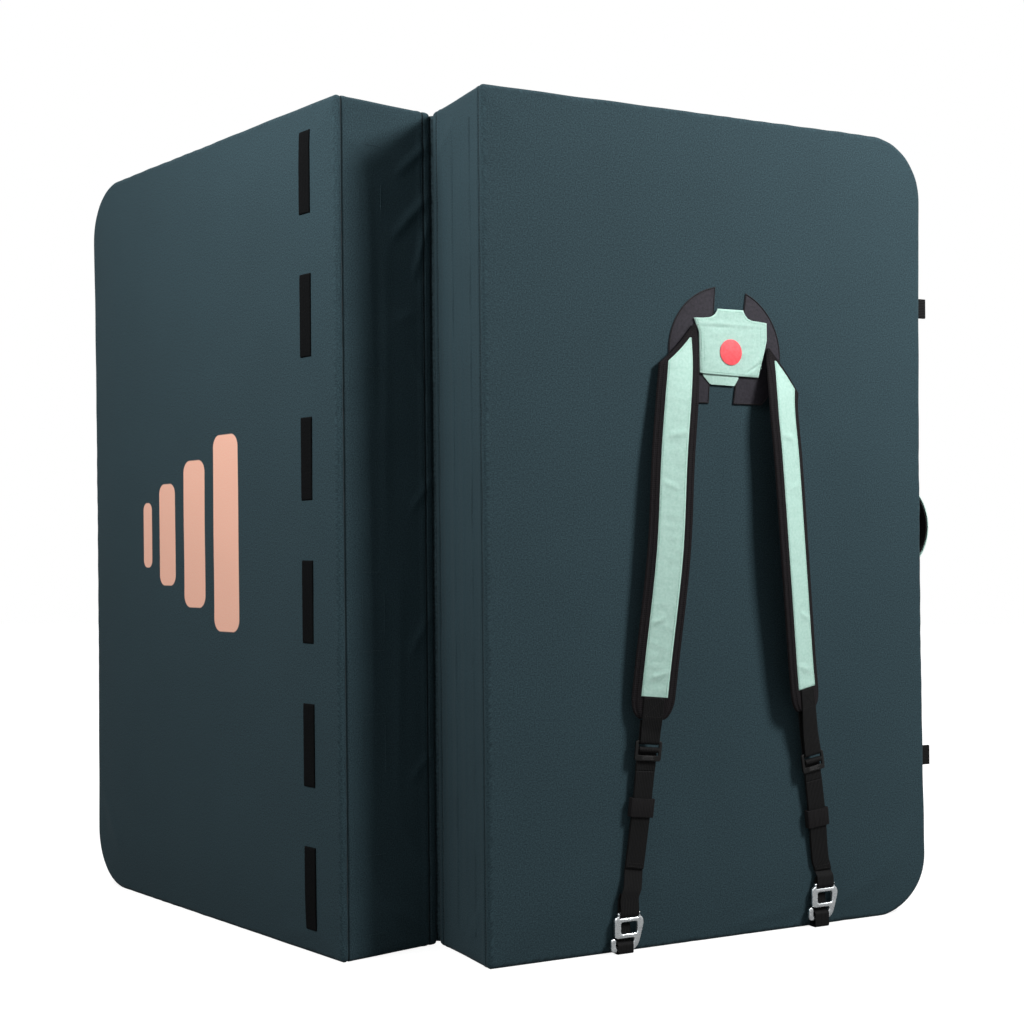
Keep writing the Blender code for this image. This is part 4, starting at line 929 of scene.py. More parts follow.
def buildZip(name, side):
    # Zip: a flat tape in the top wall with two rows of coil beads, and a slider with its pull
    top, depth = pad["height"] - clear, pad["thickness"] / 2
    low, high = zipper["start"], zipper["start"] + zipper["length"]
    t = np.linspace(low + zipper["ends"], high - zipper["ends"], 120)
    half, thin, slit = zipper["width"] / 2, zipper["thickness"] / 2, zipper["slit"]
    section = np.array([(-half, -thin), (half, -thin), (half, thin), (slit, thin), (-slit, thin),
                        (-half, thin)])
    points = panelPoints(side, t[:, None], depth + section[None, :, 0], top - thin + section[None, :, 1])
    uv = pairs(closed(section[:, 0])[None], t[:, None])
    tape = sweep(f"{name}_zip_tape", points, mats["zipTape"], uv)
    tape.data.set_sharp_from_angle(angle=math.radians(40))
    spots = np.arange(low + zipper["coilEnds"], high - zipper["coilEnds"], zipper["pitch"])
    acrossAxis, outAxis, up = panelAxes(side)
    axes = [axis * size for axis, size in zip((outAxis, acrossAxis, up), zipper["bead"])]
    beads = []
    for sign in (-1, 1):
        at = spots + sign * zipper["pitch"] / 4
        origin = panelPoints(side, at, depth + sign * zipper["coilOff"], top + clear)
        beads.append(np.concatenate([origin[:, None], np.broadcast_to(axes, (len(spots), 3, 3))], 1))
    coil = scatter(f"{name}_zip_coil", beadShape(0.32), np.concatenate(beads), mats["zipCoil"])
    for piece in (tape, coil):
        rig.ride(piece, f"{name}_panel")
    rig.replaces(tape, f"{name}_zip")

    def sliderPlace(rise):
        return lambda x, y, z: panelPoints(side, low + zipper["slider"] + x, depth + y, top + rise + z)
    outline = np.concatenate([arcPoints(0.009, 0, 0.0038, 60, -60, 6),
                              arcPoints(0.0020, 0, 0.0026, 240, 120, 6)])
    body = flatShape(f"{name}_slider_body", [outline], zipper["sliderThick"], 0.0004,
                     sliderPlace(zipper["sliderRise"]), mats["zipMetal"])
    pull = np.concatenate([arcPoints(0.026, 0, 0.0028, 90, -90, 8), arcPoints(0.0075, 0, 0.0018, 270, 90, 6)])
    hole = arcPoints(0.0245, 0, 0.0014, 0, 360, 12)[:-1]
    tab = flatShape(f"{name}_slider_pull", [pull, hole], zipper["pullThick"], 0.0003,
                    sliderPlace(zipper["pullRise"]), mats["zipMetal"])
    for piece in (body, tab):
        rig.ride(piece, f"{name}_slider")
    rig.replaces(body, f"{name}_zip_slider")


for name, side in (("left", -1), ("right", 1)):
    buildZip(name, side)
print("zips made")

# Yoke on the right panel: its shapes are shares of its radius, from its centre
yoke = {"centre": 0.5103, "height": 0.7095, "radius": 0.081, "foot": 0.0615, "black": 0.0010,
        "blackLift": 0.0008, "panel": 0.0018, "tab": 0.0009, "mintLift": 0.0016, "disc": 0.0158,
        "discThick": 0.0005, "discAt": (0.070, 0.016), "blackInset": 0.0011, "mintInset": 0.0028}
yokePanelShape = [
    (-0.148, 0.660), (-0.160, 0.625), (-0.200, 0.575), (-0.260, 0.535), (-0.345, 0.515), (-0.565, 0.505),
    (-0.485, 0.290), (-0.475, -0.315), (0.575, -0.345), (0.610, -0.215), (0.695, 0.062), (0.735, 0.228),
    (0.735, 0.490), (0.470, 0.510), (0.390, 0.540), (0.335, 0.600), (0.310, 0.660)]
yokeTabShape = [(-0.410, -0.300), (-0.410, -0.352), (-0.280, -0.475), (0.150, -0.485), (0.225, -0.370),
                (0.225, -0.300)]

# Folds of the mint panel, as shares of the yoke's radius: both ends, then height and width in metres
yokeFolds = [(-0.50, 0.440, 0.66, 0.425, 0.0004, 0.0026), (-0.52, 0.375, 0.10, 0.390, -0.0003, 0.0018),
             (0.42, -0.30, 0.66, 0.06, 0.0013, 0.0026), (0.34, -0.30, 0.62, -0.12, -0.0012, 0.0016),
             (-0.46, -0.25, -0.20, -0.05, 0.0005, 0.0022)]


def boxRows(place, near, far, level, outward):
    # Thread of a crossed box between two places: both ends, both sides and both diagonals
    share = np.linspace(0, 1, 12)
    ends = ((-1, 1, near, near), (-1, 1, far, far))
    lines = ends + tuple((a0, a1, near, far) for a0, a1 in ((-1, -1), (1, 1), (-1, 1), (1, -1)))
    return [(place(h0 + (h1 - h0) * share, level + 0 * share, boxHalf * (a0 + (a1 - a0) * share)), outward)
            for a0, a1, h0, h1 in lines]


def onGround(lift):
    # Placing function on the flat middle of the right panel's ground face
    return lambda x, y, z: panelPoints(1, x, pad["thickness"] + lift + z, y)


def denser(loop, step):
    # The closed outline with points every step
    return resample(closed(loop), step)[:-1]


def insetLoop(loop, inset):
    # The outline moved inwards by inset, each point along the mean normal of its neighbours
    fine = denser(np.asarray(loop, float), 0.002)
    ahead = np.roll(fine, -2, 0) - np.roll(fine, 2, 0)
    normal = np.stack([-ahead[:, 1], ahead[:, 0]], -1)
    normal /= np.linalg.norm(normal, axis=1)[:, None]
    area = 0.5 * np.sum(fine[:, 0] * np.roll(fine[:, 1], -1) - fine[:, 1] * np.roll(fine[:, 0], -1))
    return fine + normal * inset * np.sign(area)


# The mint panel: counts of points, the share of its thickness at the edge, and sizes in metres
cushion = {"rows": 110, "columns": 60, "edge": 0.45, "edgeRun": 0.0011, "wrinkle": 0.00035,
           "longest": 0.020, "fade": 0.002, "margin": 1e-5}


def softPanel(name, loop, thickness, place, material, folds):
    # Padded cloth panel: at each height a row between the outline's two sides, thin at the edges, with folds
    x0, y0 = loop.T[:, :, None]
    x1, y1 = np.roll(loop, -1, 0).T[:, :, None]
    low, high = loop[:, 1].min() + cushion["margin"], loop[:, 1].max() - cushion["margin"]
    y = np.linspace(low, high, cushion["rows"])
    hit = (y[None] - y0) * (y[None] - y1) <= 0
    x = x0 + (x1 - x0) * (y[None] - y0) / np.where(np.abs(y1 - y0) < 1e-9, 1e-9, y1 - y0)
    x = np.clip(x, np.minimum(x0, x1), np.maximum(x0, x1))
    left, right = np.where(hit, x, np.inf).min(0)[:, None], np.where(hit, x, -np.inf).max(0)[:, None]
    share = 0.5 - 0.5 * np.cos(np.linspace(0, math.pi, cushion["columns"]))[None]
    across, height = left + (right - left) * share, y[:, None] + 0 * share
    near = np.minimum.reduce([across - left, right - across, height - y[0], y[-1] - height])
    full = 1 - np.exp(-near / cushion["edgeRun"])
    wrinkle = cushion["wrinkle"] * waves(across, height, 8, cushion["longest"], 41)
    wrinkle = wrinkle + creaseDepth(across, height, folds)
    wrinkle = np.maximum(wrinkle, -thickness * cushion["edge"]) * np.clip(near / cushion["fade"], 0.2, 1)
    top = thickness * (cushion["edge"] + (1 - cushion["edge"]) * full) + wrinkle
    ring = np.concatenate([place(across, height, top), place(across, height, 0 * top)[:, ::-1]], 1)
    u = np.concatenate([across, across[:, ::-1], across[:, :1]], 1)
    return sweep(name, ring, material, pairs(u, height[:, :1]))


def buildYoke():
    # Yoke: two black patches, the mint tab, the mint panel over them and the round disc, then the stitching
    radius, thick = yoke["radius"], pad["thickness"]
    centre = np.array([pad["width"] * yoke["centre"], yoke["height"]])
    out = panelAxes(1)[1]
    black, mint = [], []
    foot = -math.degrees(math.asin(yoke["foot"] / radius))
    for name, sign, top, low in (("left", -1, 0.0135, 0.0245), ("right", 1, 0.0305, 0.0105)):
        start = math.degrees(math.acos(top / radius))
        curve = arcPoints(0, 0, radius, start, foot, 40) * [sign, 1]
        outline = np.concatenate([curve, [[sign * low, -yoke["foot"]]]]) + centre
        patch = flatShape(f"yoke_{name}_cloth", [outline], yoke["black"], 0.0003, onGround(yoke["blackLift"]),
                          mats["yokeBlack"])
        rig.ride(patch, "right_panel")
        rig.replaces(patch, f"yoke_{name}_patch")
        path = closed(insetLoop(outline, yoke["blackInset"]))
        level = thick + yoke["blackLift"] + yoke["black"] / 2
        black.append((panelPoints(1, path[:, 0], level, path[:, 1]), out))
    tabLift = yoke["mintLift"] + yoke["tab"] / 2
    panelFoot = yoke["mintLift"] + yoke["tab"] + clear
    panelTop = panelFoot + yoke["panel"]
    tabLoop = denser(np.array(yokeTabShape) * radius + centre, 0.003)
    tab = flatShape("yoke_tab_cloth", [tabLoop], yoke["tab"], 0.0003, onGround(tabLift), mats["mint"])
    panelLoop = np.array(yokePanelShape) * radius + centre
    folds = [(*(centre + np.array([a, b]) * radius), *(centre + np.array([c, d]) * radius), size, wide)
             for a, b, c, d, size, wide in yokeFolds]
    panel = softPanel("yoke_panel_cloth", panelLoop, yoke["panel"], onGround(panelFoot), mats["mint"], folds)
    for piece, cadNode in ((tab, "yoke_lower_tab"), (panel, "yoke_panel")):
        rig.ride(piece, "right_panel")
        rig.replaces(piece, cadNode)
    path = closed(insetLoop(panelLoop, yoke["mintInset"]))
    mint.append((panelPoints(1, path[:, 0], thick + panelTop, path[:, 1]), out))
    rise = np.linspace(-0.22, 0.42, 12) * radius
    for x in (-0.40, 0.62):
        mint.append((panelPoints(1, centre[0] + x * radius, thick + panelTop, centre[1] + rise), out))
    spot = centre + np.array(yoke["discAt"]) * radius
    circle = arcPoints(spot[0], spot[1], yoke["disc"], 0, 360, 64)[:-1]
    discLift = panelTop + clear + yoke["discThick"] / 2
    disc = flatShape("round_disc", [circle], yoke["discThick"], 0.0002, onGround(discLift), mats["disc"])
    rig.ride(disc, "right_panel")
    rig.replaces(disc, "yoke_disc")
    rows = stitches("yoke_black_stitching", black, mats["thread"], pitch=0.0026, length=0.0030, thick=0.0012)
    for piece in (rows, stitches("yoke_mint_stitching", mint, mats["mintThread"])):
        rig.ride(piece, "right_panel")


buildYoke()
print("yoke made")

# Shoulder straps, their locks, keepers, hooks and anchor loops: sizes in metres, tilt in degrees
strapSizes = {"width": 0.053, "thickness": 0.0070, "edge": 0.0030, "seamThickness": 0.0030,
              "endLength": 0.027, "endWidth": 0.027, "tip": 0.004, "facing": 0.032,
              "facingThickness": 0.0008, "facingInset": 0.007, "baseLift": 0.0045, "bow": 0.0175,
              "tilt": 15.4, "seat": 0.84, "webbing": 0.025, "webThickness": 0.0012}
lock = {"width": 0.034, "height": 0.024, "thickness": 0.0028, "bar": 0.0026, "upper": 0.0069, "lower": 0.0054,
        "corner": 0.003, "opening": 0.0264, "bevel": 0.0006, "ribs": (0.0022, 0.0052)}
keeper = {"width": 0.032, "height": 0.022, "wall": 0.0011, "play": 0.0006, "slack": 1.6, "side": 0.0008,
          "corner": 0.0018, "bevel": 0.0004}
# From the middle of the adjuster's tail run to that of its load run, and from a hook to the webbing beside it
runGap, hookGap = 0.0020, 0.0008
# The half width of a crossed box of thread, its insets on a strap's end, and its beads
boxHalf, boxInset, boxThread = 0.0105, (0.003, 0.002), {"pitch": 0.0024, "length": 0.0018}
hook = {"thickness": 0.0045, "bar": 0.0035, "slot": 0.0030, "bevel": 0.0013, "half": 0.0195,
        "shoulder": 0.0045, "window": 0.0110, "windowHeight": 0.0120, "crossBar": 0.0070,
        "lowerBar": 0.0060, "mouth": 0.0080, "foot": 0.0058, "tip": 0.0065, "tipRise": 0.0070,
        "legIn": 0.0055, "tipOut": 0.0245, "neck": 0.0152,
        "leg": [(-0.0432, 0.0030), (-0.0407, 0.0083), (-0.0349, 0.0128), (-0.0253, 0.0161),
                (-0.0162, 0.0187), (-0.0125, 0.0195)],
        "neckRound": 0.0015, "ringLeft": 0.0050, "ringRight": 0.0085, "ringRise": 0.0024,
        "windowDrop": 0.0018, "web": 0.0050, "mouthRound": 0.002, "legTop": -0.0125,
        "slotHalf": 0.0120, "slotRound": 0.0014, "windowRound": 0.0025}
anchorSize = {"width": 0.0212, "thickness": 0.0012}
# For each strap the heights of its parts, then centre line, bow and tilt, as shares, at given heights
straps = {
    "left": {
        "outward": -1, "top": 0.742, "shoulder": 0.690, "padEnd": 0.273, "facingEnd": 0.2995, "lock": 0.236,
        "keeper": 0.169, "tail": 0.098, "hookRise": 0.0,
        "centre": [(0.742, 0.3990), (0.720, 0.4006), (0.690, 0.3960), (0.650, 0.3863), (0.583, 0.3732),
                   (0.467, 0.3588), (0.333, 0.3336), (0.270, 0.3241), (0.236, 0.3194), (0.169, 0.3091),
                   (0.098, 0.2943), (0.048, 0.2808), (0.0, 0.2750)],
        "bow": [(0.742, 0.0), (0.720, 0.10), (0.690, 0.35), (0.650, 0.65), (0.583, 0.86), (0.467, 1.0),
                (0.333, 0.77), (0.270, 0.54), (0.236, 0.43), (0.169, 0.28), (0.098, 0.15), (0.0, 0.0)],
        "tilt": [(0.742, 0.0), (0.720, 0.10), (0.690, 0.50), (0.650, 0.95), (0.583, 1.0), (0.300, 1.0),
                 (0.270, 0.75), (0.236, 0.35), (0.180, 0.0), (0.0, 0.0)],
    },
    "right": {
        "outward": 1, "top": 0.7165, "shoulder": 0.667, "padEnd": 0.273, "facingEnd": 0.300, "lock": 0.2075,
        "keeper": 0.1365, "tail": 0.070, "hookRise": 0.006,
        "centre": [(0.7165, 0.6443), (0.690, 0.6380), (0.650, 0.6292), (0.583, 0.6344), (0.467, 0.6450),
                   (0.333, 0.6648), (0.295, 0.6729), (0.250, 0.6845), (0.2075, 0.6959), (0.165, 0.7058),
                   (0.1365, 0.7114), (0.090, 0.7192), (0.054, 0.7279), (0.0, 0.7320)],
        "bow": [(0.7165, 0.0), (0.700, 0.12), (0.680, 0.34), (0.650, 0.64), (0.583, 0.86), (0.467, 1.0),
                (0.333, 0.77), (0.270, 0.54), (0.236, 0.43), (0.1365, 0.26), (0.090, 0.15), (0.0, 0.0)],
        "tilt": [(0.7165, 0.0), (0.700, 0.12), (0.680, 0.50), (0.650, 0.95), (0.583, 1.0), (0.300, 1.0),
                 (0.270, 0.75), (0.236, 0.35), (0.180, 0.0), (0.0, 0.0)],
    },
}


def strapPlace(strap):
    # World points of a strap's (height, out, across): centre line, lean, bow and tilt read from the tables
    sizes, sign = strapSizes, strap["outward"]
    def place(height, out, across):
        centre = pad["width"] * smoothTable(strap["centre"], height)
        step = sizes["width"]
        above, below = (smoothTable(strap["centre"], height + half) for half in (step / 2, -step / 2))
        lean = np.arctan(pad["width"] * (above - below) / step)
        lift = sizes["baseLift"] + sizes["bow"] * smoothTable(strap["bow"], height)
        tilt = math.radians(sizes["tilt"]) * smoothTable(strap["tilt"], height)
        flat = across * np.cos(tilt) + sign * out * np.sin(tilt)
        raised = out * np.cos(tilt) - sign * across * np.sin(tilt)
        return panelPoints(1, centre + flat * np.cos(lean), pad["thickness"] + lift + raised,
                           height - flat * np.sin(lean))
    return place


def squareFrame(place, height):
    # Origin and the across, along and out directions of a rigid piece at one height of a strap
    def at(rise, out, across):
        return place(np.array(height + rise), np.array(out), np.array(across))
    middle, reach, step = at(0.0, 0.0, 0.0), lock["height"], lock["thickness"]
    ahead = at(reach, 0.0, 0.0) - at(-reach, 0.0, 0.0)
    ahead /= np.linalg.norm(ahead)
    out = at(0.0, step, 0.0) - middle
    out -= out @ ahead * ahead
    out /= np.linalg.norm(out)
    across = at(0.0, 0.0, step) - middle
    across -= across @ ahead * ahead + across @ out * out
    across /= np.linalg.norm(across)
    return middle, across, ahead, out


def squarePlace(place, height):
    # Placing function of a rigid piece: origin plus x across, y along, z out
    middle, across, ahead, out = squareFrame(place, height)
    def rigid(x, y, z):
        x, y, z = np.broadcast_arrays(x, y, z)
        return middle + x[..., None] * across + y[..., None] * ahead + z[..., None] * out
    return rigid


def wrapRadius(high, wide):
    # Radius of webbing round a bar of that section
    return math.hypot(high, wide) / 2 + clear + strapSizes["webThickness"] / 2


# From the middle of a hook's webbing bar down to the top of its mouth
mouthDrop = hook["bar"] / 2 + hook["slot"] + hook["crossBar"] + hook["windowHeight"] + hook["lowerBar"]


def hookHeight(strap):
    # Height of the middle of the hook's webbing bar
    return (mouthDrop + hook["mouth"] + hook["foot"] + anchorSize["thickness"] + 2 * hookGap
            + strap["hookRise"])


hookLift = wrapRadius(hook["bar"], hook["thickness"]) + strapSizes["webThickness"] / 2 + hookGap


def hookCentre(strap):
    # Distance of the hook's middle from the hinge side
    return pad["width"] * float(smoothTable(strap["centre"], hookHeight(strap)))


def strapOut(strap, height, lift):
    # Distance out from the strap's centre surface of a lift over the ground face
    return lift - strapSizes["baseLift"] - strapSizes["bow"] * smoothTable(strap["bow"], height)


def heldPlace(strap):
    # Placing function of webbing: the strap's own, turned square near the lock, the keeper and the hook
    place = strapPlace(strap)
    bar, centre = hookHeight(strap), hookCentre(strap)
    surface = pad["thickness"] + hookLift - float(strapOut(strap, bar, hookLift))
    def upright(across, ahead, out):
        return panelPoints(1, centre + across, surface + out, bar + ahead)
    holds = [(strap["lock"], lock["height"], squarePlace(place, strap["lock"])),
             (strap["keeper"], keeper["height"], squarePlace(place, strap["keeper"])),
             (bar, strapSizes["webbing"], upright)]
    def held(height, out, across):
        points = place(height, out, across)
        for middle, reach, rigid in holds:
            share = np.clip(2 * np.abs(height - middle) / reach - 1.3, 0, 1)[..., None]
            points = points * share + rigid(across, height - middle, out) * (1 - share)
        return points
    return held


def sectionOf(strap, height):
    # Edges and half thicknesses of the padded strap at each height: round end, slanting seam, thin sewn top
    sizes = strapSizes
    straight = strap["padEnd"] + sizes["endLength"]
    fall = np.clip((straight - height) / sizes["endLength"], 0, 1)
    half = sizes["endWidth"] / 2 + (sizes["width"] - sizes["endWidth"]) / 2 * np.sqrt(1 - fall ** 2)
    run = strap["top"] - strap["shoulder"]
    cut = np.clip((height - strap["shoulder"]) / run, 0, 1) * (sizes["width"] - sizes["tip"])
    full = np.clip((strap["top"] - height) / run, 0, 1)
    thick = (sizes["seamThickness"] + (sizes["thickness"] - sizes["seamThickness"]) * full) / 2
    return -half, half - cut, thick, thick * sizes["edge"] / sizes["thickness"]


def facingEdges(strap, height):
    # Inner and outer edge of the mint facing at each height
    inner, outer, _, _ = sectionOf(strap, height)
    middle, reach = (outer + inner) / 2, (outer - inner) / 2 * strapSizes["seat"]
    seatIn, seatOut = middle - reach, middle + reach
    half = strapSizes["facing"] / 2
    faceIn = np.minimum(np.maximum(-half, seatIn + reach / 8), seatOut - reach / 4)
    limit = np.minimum(half, outer - strapSizes["facingInset"])
    return faceIn, np.minimum(np.maximum(limit, faceIn + reach / 8), seatOut - reach / 16)


# The strap's rolled binding and its facing: places as shares of the half width, then sizes in metres
binding = {"from": 0.86, "slope": 0.11, "middle": 0.93, "wide": 0.05, "roll": 0.0004, "fullThick": 0.0035,
           "ripple": 0.00025, "rippleRun": 0.0021, "threadIn": 0.0062, "threadUp": 0.0010}
facingSkin = {"least": 0.0012, "wrinkle": 0.0004, "longest": 0.022, "deepest": 0.0003, "threadIn": 0.0020}
# Folds of the mint facings: share across and height of both ends, height of the fold and its width
facingFolds = [(0.05, 0.612, 0.75, 0.606, 0.0011, 0.0040), (0.3, 0.545, 1.0, 0.552, 0.0009, 0.0035),
               (0.0, 0.455, 0.6, 0.450, -0.0007, 0.0035), (0.4, 0.392, 1.0, 0.384, 0.0008, 0.0035),
               (0.0, 0.330, 0.7, 0.322, 0.0010, 0.0035), (0.2, 0.315, 1.0, 0.311, -0.0008, 0.0030)]


def buildStrapPad(name, strap):
    # Padded strap: a flat-topped section with rolled binding at both edges, then its facing and stitching
    place, sign = strapPlace(strap), strap["outward"]
    straight = strap["padEnd"] + strapSizes["endLength"]
    end = straight - strapSizes["endLength"] * np.sin(np.linspace(0, math.pi / 2, 22)[1:])
    height = np.concatenate([np.linspace(strap["top"], strap["shoulder"], 26)[:-1],
                             np.linspace(strap["shoulder"], straight, 190), end])
    inner, outer, thick, thin = (a[:, None] for a in sectionOf(strap, height))
    a = np.concatenate([np.linspace(-1, 1, 35), np.ones(3), np.linspace(1, -1, 21), -np.ones(3)])
    topSide = np.concatenate([np.ones(35), [0.6, 0, -0.6], -np.ones(21), [-0.6, 0, 0.6]])
    rise = np.clip((binding["from"] - np.abs(a)) / binding["slope"], 0, 1)
    rise = rise * rise * (3 - 2 * rise)
    roll = np.exp(-((np.abs(a) - binding["middle"]) / binding["wide"]) ** 2)
    middle, reach = (outer + inner) / 2, (outer - inner) / 2
    body = thin + (thick - thin) * rise[None]
    out = topSide[None] * (body + binding["roll"] * roll[None] * (thick / binding["fullThick"]))
    bulge = np.where(np.abs(topSide) < 1, np.sqrt(np.maximum(1 - topSide ** 2, 0)), 0)
    across = middle + reach * a[None] + np.sign(a)[None] * (bulge[None] - 1) * thin * 0.5
    ripple = binding["ripple"] * np.sin(height[:, None] / binding["rippleRun"]) * roll[None]
    ripple = ripple * np.sign(topSide)[None]
    points = place(np.broadcast_to(height[:, None], across.shape), out + ripple, sign * across)
    uv = pairs((closed(a) * strapSizes["width"] / 2)[None], height[:, None])
    padding = sweep(f"{name}_padded_strap", points, mats["mesh"], uv)
    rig.ride(padding, f"{name}_strap")
    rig.replaces(padding, f"{name}_strap_pad")
    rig.padded(padding, fill=0.9)
    faceIn, faceOut = facingEdges(strap, height)
    keep = (height >= strap["facingEnd"]) & (faceOut - faceIn > facingSkin["least"])
    h = np.append(height[keep], strap["facingEnd"])
    faceIn, faceOut, thickAt = (np.interp(-h, -height, edge)[:, None]
                                for edge in (faceIn, faceOut, sectionOf(strap, height)[2]))
    b, tall = np.linspace(0, 1, 22)[None], h[:, None]
    skin = strapSizes["facingThickness"]
    flat = 4 * b * (1 - b)
    wrinkle = waves(tall + 0 * b, 0.03 * b + 0 * tall, 10, facingSkin["longest"], 5 + sign)
    wrinkle = facingSkin["wrinkle"] * wrinkle * flat ** 0.3
    wrinkle = wrinkle + creaseDepth(b + 0 * tall, tall + 0 * b, facingFolds)
    soft = np.clip(flat / 0.25, 0, 1) ** 0.5
    top = thickAt + clear + skin * (0.55 + 0.45 * soft) + np.maximum(wrinkle, -facingSkin["deepest"]) * soft
    across = faceIn + (faceOut - faceIn) * b
    upper = place(tall + 0 * b, top, sign * across)
    lower = place(tall + 0 * b, thickAt + clear + 0 * b, sign * across)
    ring = np.concatenate([upper, lower[:, ::-1]], 1)
    u = np.concatenate([across, across[:, ::-1], across[:, :1]], 1)
    facing = sweep(f"{name}_facing", ring, mats["mint"], pairs(u, tall))
    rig.ride(facing, f"{name}_strap")
    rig.replaces(facing, f"{name}_strap_facing")
    rows, dark = [], []
    out = panelAxes(1)[1]
    for edge, inset in ((faceIn[:, 0], facingSkin["threadIn"]), (faceOut[:, 0], -facingSkin["threadIn"])):
        rows.append((place(h, thickAt[:, 0] + clear + skin, sign * (edge + inset)), out))
    pieces = [stitches(f"{name}_facing_stitching", rows, mats["mintThread"])]
    body = height > straight
    for edge, inset in ((inner[:, 0], binding["threadIn"]), (outer[:, 0], -binding["threadIn"])):
        level = thin[body, 0] + binding["threadUp"]
        dark.append((place(height[body], level, sign * (edge + inset)[body]), out))
    pieces.append(stitches(f"{name}_binding_stitching", dark, mats["thread"]))
    for piece in pieces:
        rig.ride(piece, f"{name}_strap")


def lockBars(strap):
    # Heights of the lock's top bar and middle bar
    upper = strap["lock"] + (lock["height"] - lock["bar"]) / 2
    return upper, upper - lock["bar"] - lock["upper"]


def buildStrapWebbing(name, strap):
    # Webbing sewn on the strap's end, down to the lock, round its top bar and back up behind
    upper, _ = lockBars(strap)
    radius = wrapRadius(lock["bar"], lock["thickness"])
    start = strap["facingEnd"] - clear
    seat = strapSizes["thickness"] / 2 + clear + strapSizes["webThickness"] / 2
    drop = strap["padEnd"] - 0.0006 - upper
    path = [(start, seat), (strap["padEnd"], seat), (strap["padEnd"] - drop / 2, radius), (upper, radius)]
    path = np.concatenate([path, arcPoints(upper, 0, radius, 90, 270, 12)[1:],
                           [(strap["padEnd"] - strapSizes["webThickness"], -radius)]])
    held = heldPlace(strap)
    made = band(f"{name}_upper_webbing", path, strapSizes["webThickness"], strapSizes["webbing"], held)
    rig.ride(made, f"{name}_strap")
    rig.replaces(made, f"{name}_strap_webbing")
    near, far = strap["padEnd"] + boxInset[0], start - boxInset[1]
    rows = boxRows(held, near, far, seat + strapSizes["webThickness"] / 2, panelAxes(1)[1])
    piece = stitches(f"{name}_box_stitching", rows, mats["thread"], **boxThread)
    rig.ride(piece, f"{name}_strap")


def buildLock(name, strap):
    # Ladder-lock: a rounded frame with a top bar, a middle bar and a wide ribbed lip, on the strap's end
    place = strapPlace(strap)
    rigid = squarePlace(place, strap["lock"])
    half, top = lock["width"] / 2, lock["height"] / 2
    outline = roundedBox(-half, -top, half, top, lock["corner"], 6)
    first = top - lock["bar"]
    second = first - lock["upper"] - lock["bar"]
    opening = lock["opening"] / 2
    holes = [np.array([(-opening, high - tall), (opening, high - tall), (opening, high), (-opening, high)])
             for high, tall in ((first, lock["upper"]), (second, lock["lower"]))]
    made = flatShape(f"{name}_lock_frame", [outline] + holes, lock["thickness"], lock["bevel"], rigid,
                     mats["buckle"])
    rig.ride(made, f"{name}_lock")
    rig.replaces(made, f"{name}_ladder_lock")
    low, high = lock["ribs"]
    x, out = np.linspace(-half + 0.004, half - 0.004, 3), squareFrame(place, strap["lock"])[3]
    ribs = [(rigid(x, y, lock["thickness"] / 2), out) for y in np.linspace(-top + low, -top + high, 3)]
    piece = stitches(f"{name}_lock_grip", ribs, mats["buckle"], pitch=0.024, length=0.022, thick=0.0009,
                     lift=0.0)
    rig.ride(piece, f"{name}_lock")


def buildAdjuster(name, strap):
    # Webbing: tail up behind the lip, over the middle bar and back down, then round the hook's bar
    held = heldPlace(strap)
    _, middle = lockBars(strap)
    radius = wrapRadius(lock["bar"], lock["thickness"])
    thick = strapSizes["webThickness"]
    tailOut = -lock["thickness"] / 2 - clear - thick / 2
    loadOut = tailOut - runGap
    foot = strap["lock"] - lock["height"] / 2
    bar = hookHeight(strap)
    barRadius = wrapRadius(hook["bar"], hook["thickness"])
    back = float(strapOut(strap, bar, hookLift))
    sewn = min(strapSizes["webbing"], (strap["tail"] - bar) * 0.6)
    near = float(strapOut(strap, bar + sewn, hookLift))
    split = foot - lock["height"] / 2
    loop = np.concatenate([[(split, tailOut), (foot, tailOut), (middle - radius - thick, tailOut)],
                           arcPoints(middle, 0, radius, 201.6, -90, 24),
                           [(middle - radius / 2, loadOut * 0.94), (foot, loadOut), (split, loadOut)]])
    tail = np.array([(strap["tail"], tailOut), (split, tailOut)])
    load = np.concatenate([[(split, loadOut), (strap["tail"], loadOut), (bar + sewn, near + barRadius * 0.7)],
                           arcPoints(bar, back, barRadius, 90, 270, 14),
                           [(bar + sewn * 0.9, near - barRadius * 0.45)]])
    strapBody, lockBody, adjusterBody = f"{name}_strap", f"{name}_lock", f"{name}_adjuster"

    def at(height, out):
        return tuple(held(np.array(height), np.array(out), np.array(0.0)))
    for key, path in (("loop", loop), ("tail", tail), ("load", load)):
        piece = band(f"{name}_{key}_webbing", path, thick, strapSizes["webbing"], held)
        if key == "loop":
            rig.blend(piece, strapBody, lockBody, start=at(split, 0.0), end=at(foot + 0.004, 0.0))
        else:
            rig.blend(piece, strapBody, adjusterBody, start=at(split, loadOut), end=at(bar + 0.030, loadOut))
    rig.replaces(piece, f"{name}_adjuster_webbing")
    across, level = np.linspace(-boxHalf, boxHalf, 10), np.full(10, tailOut + thick / 2)
    rows = [(held(strap["tail"] + up + 0 * across, level, across), panelAxes(1)[1]) for up in (0.002, 0.006)]
    piece = stitches(f"{name}_tail_stitching", rows, mats["thread"], **boxThread)
    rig.blend(piece, strapBody, adjusterBody, start=at(split, loadOut), end=at(bar + 0.030, loadOut))


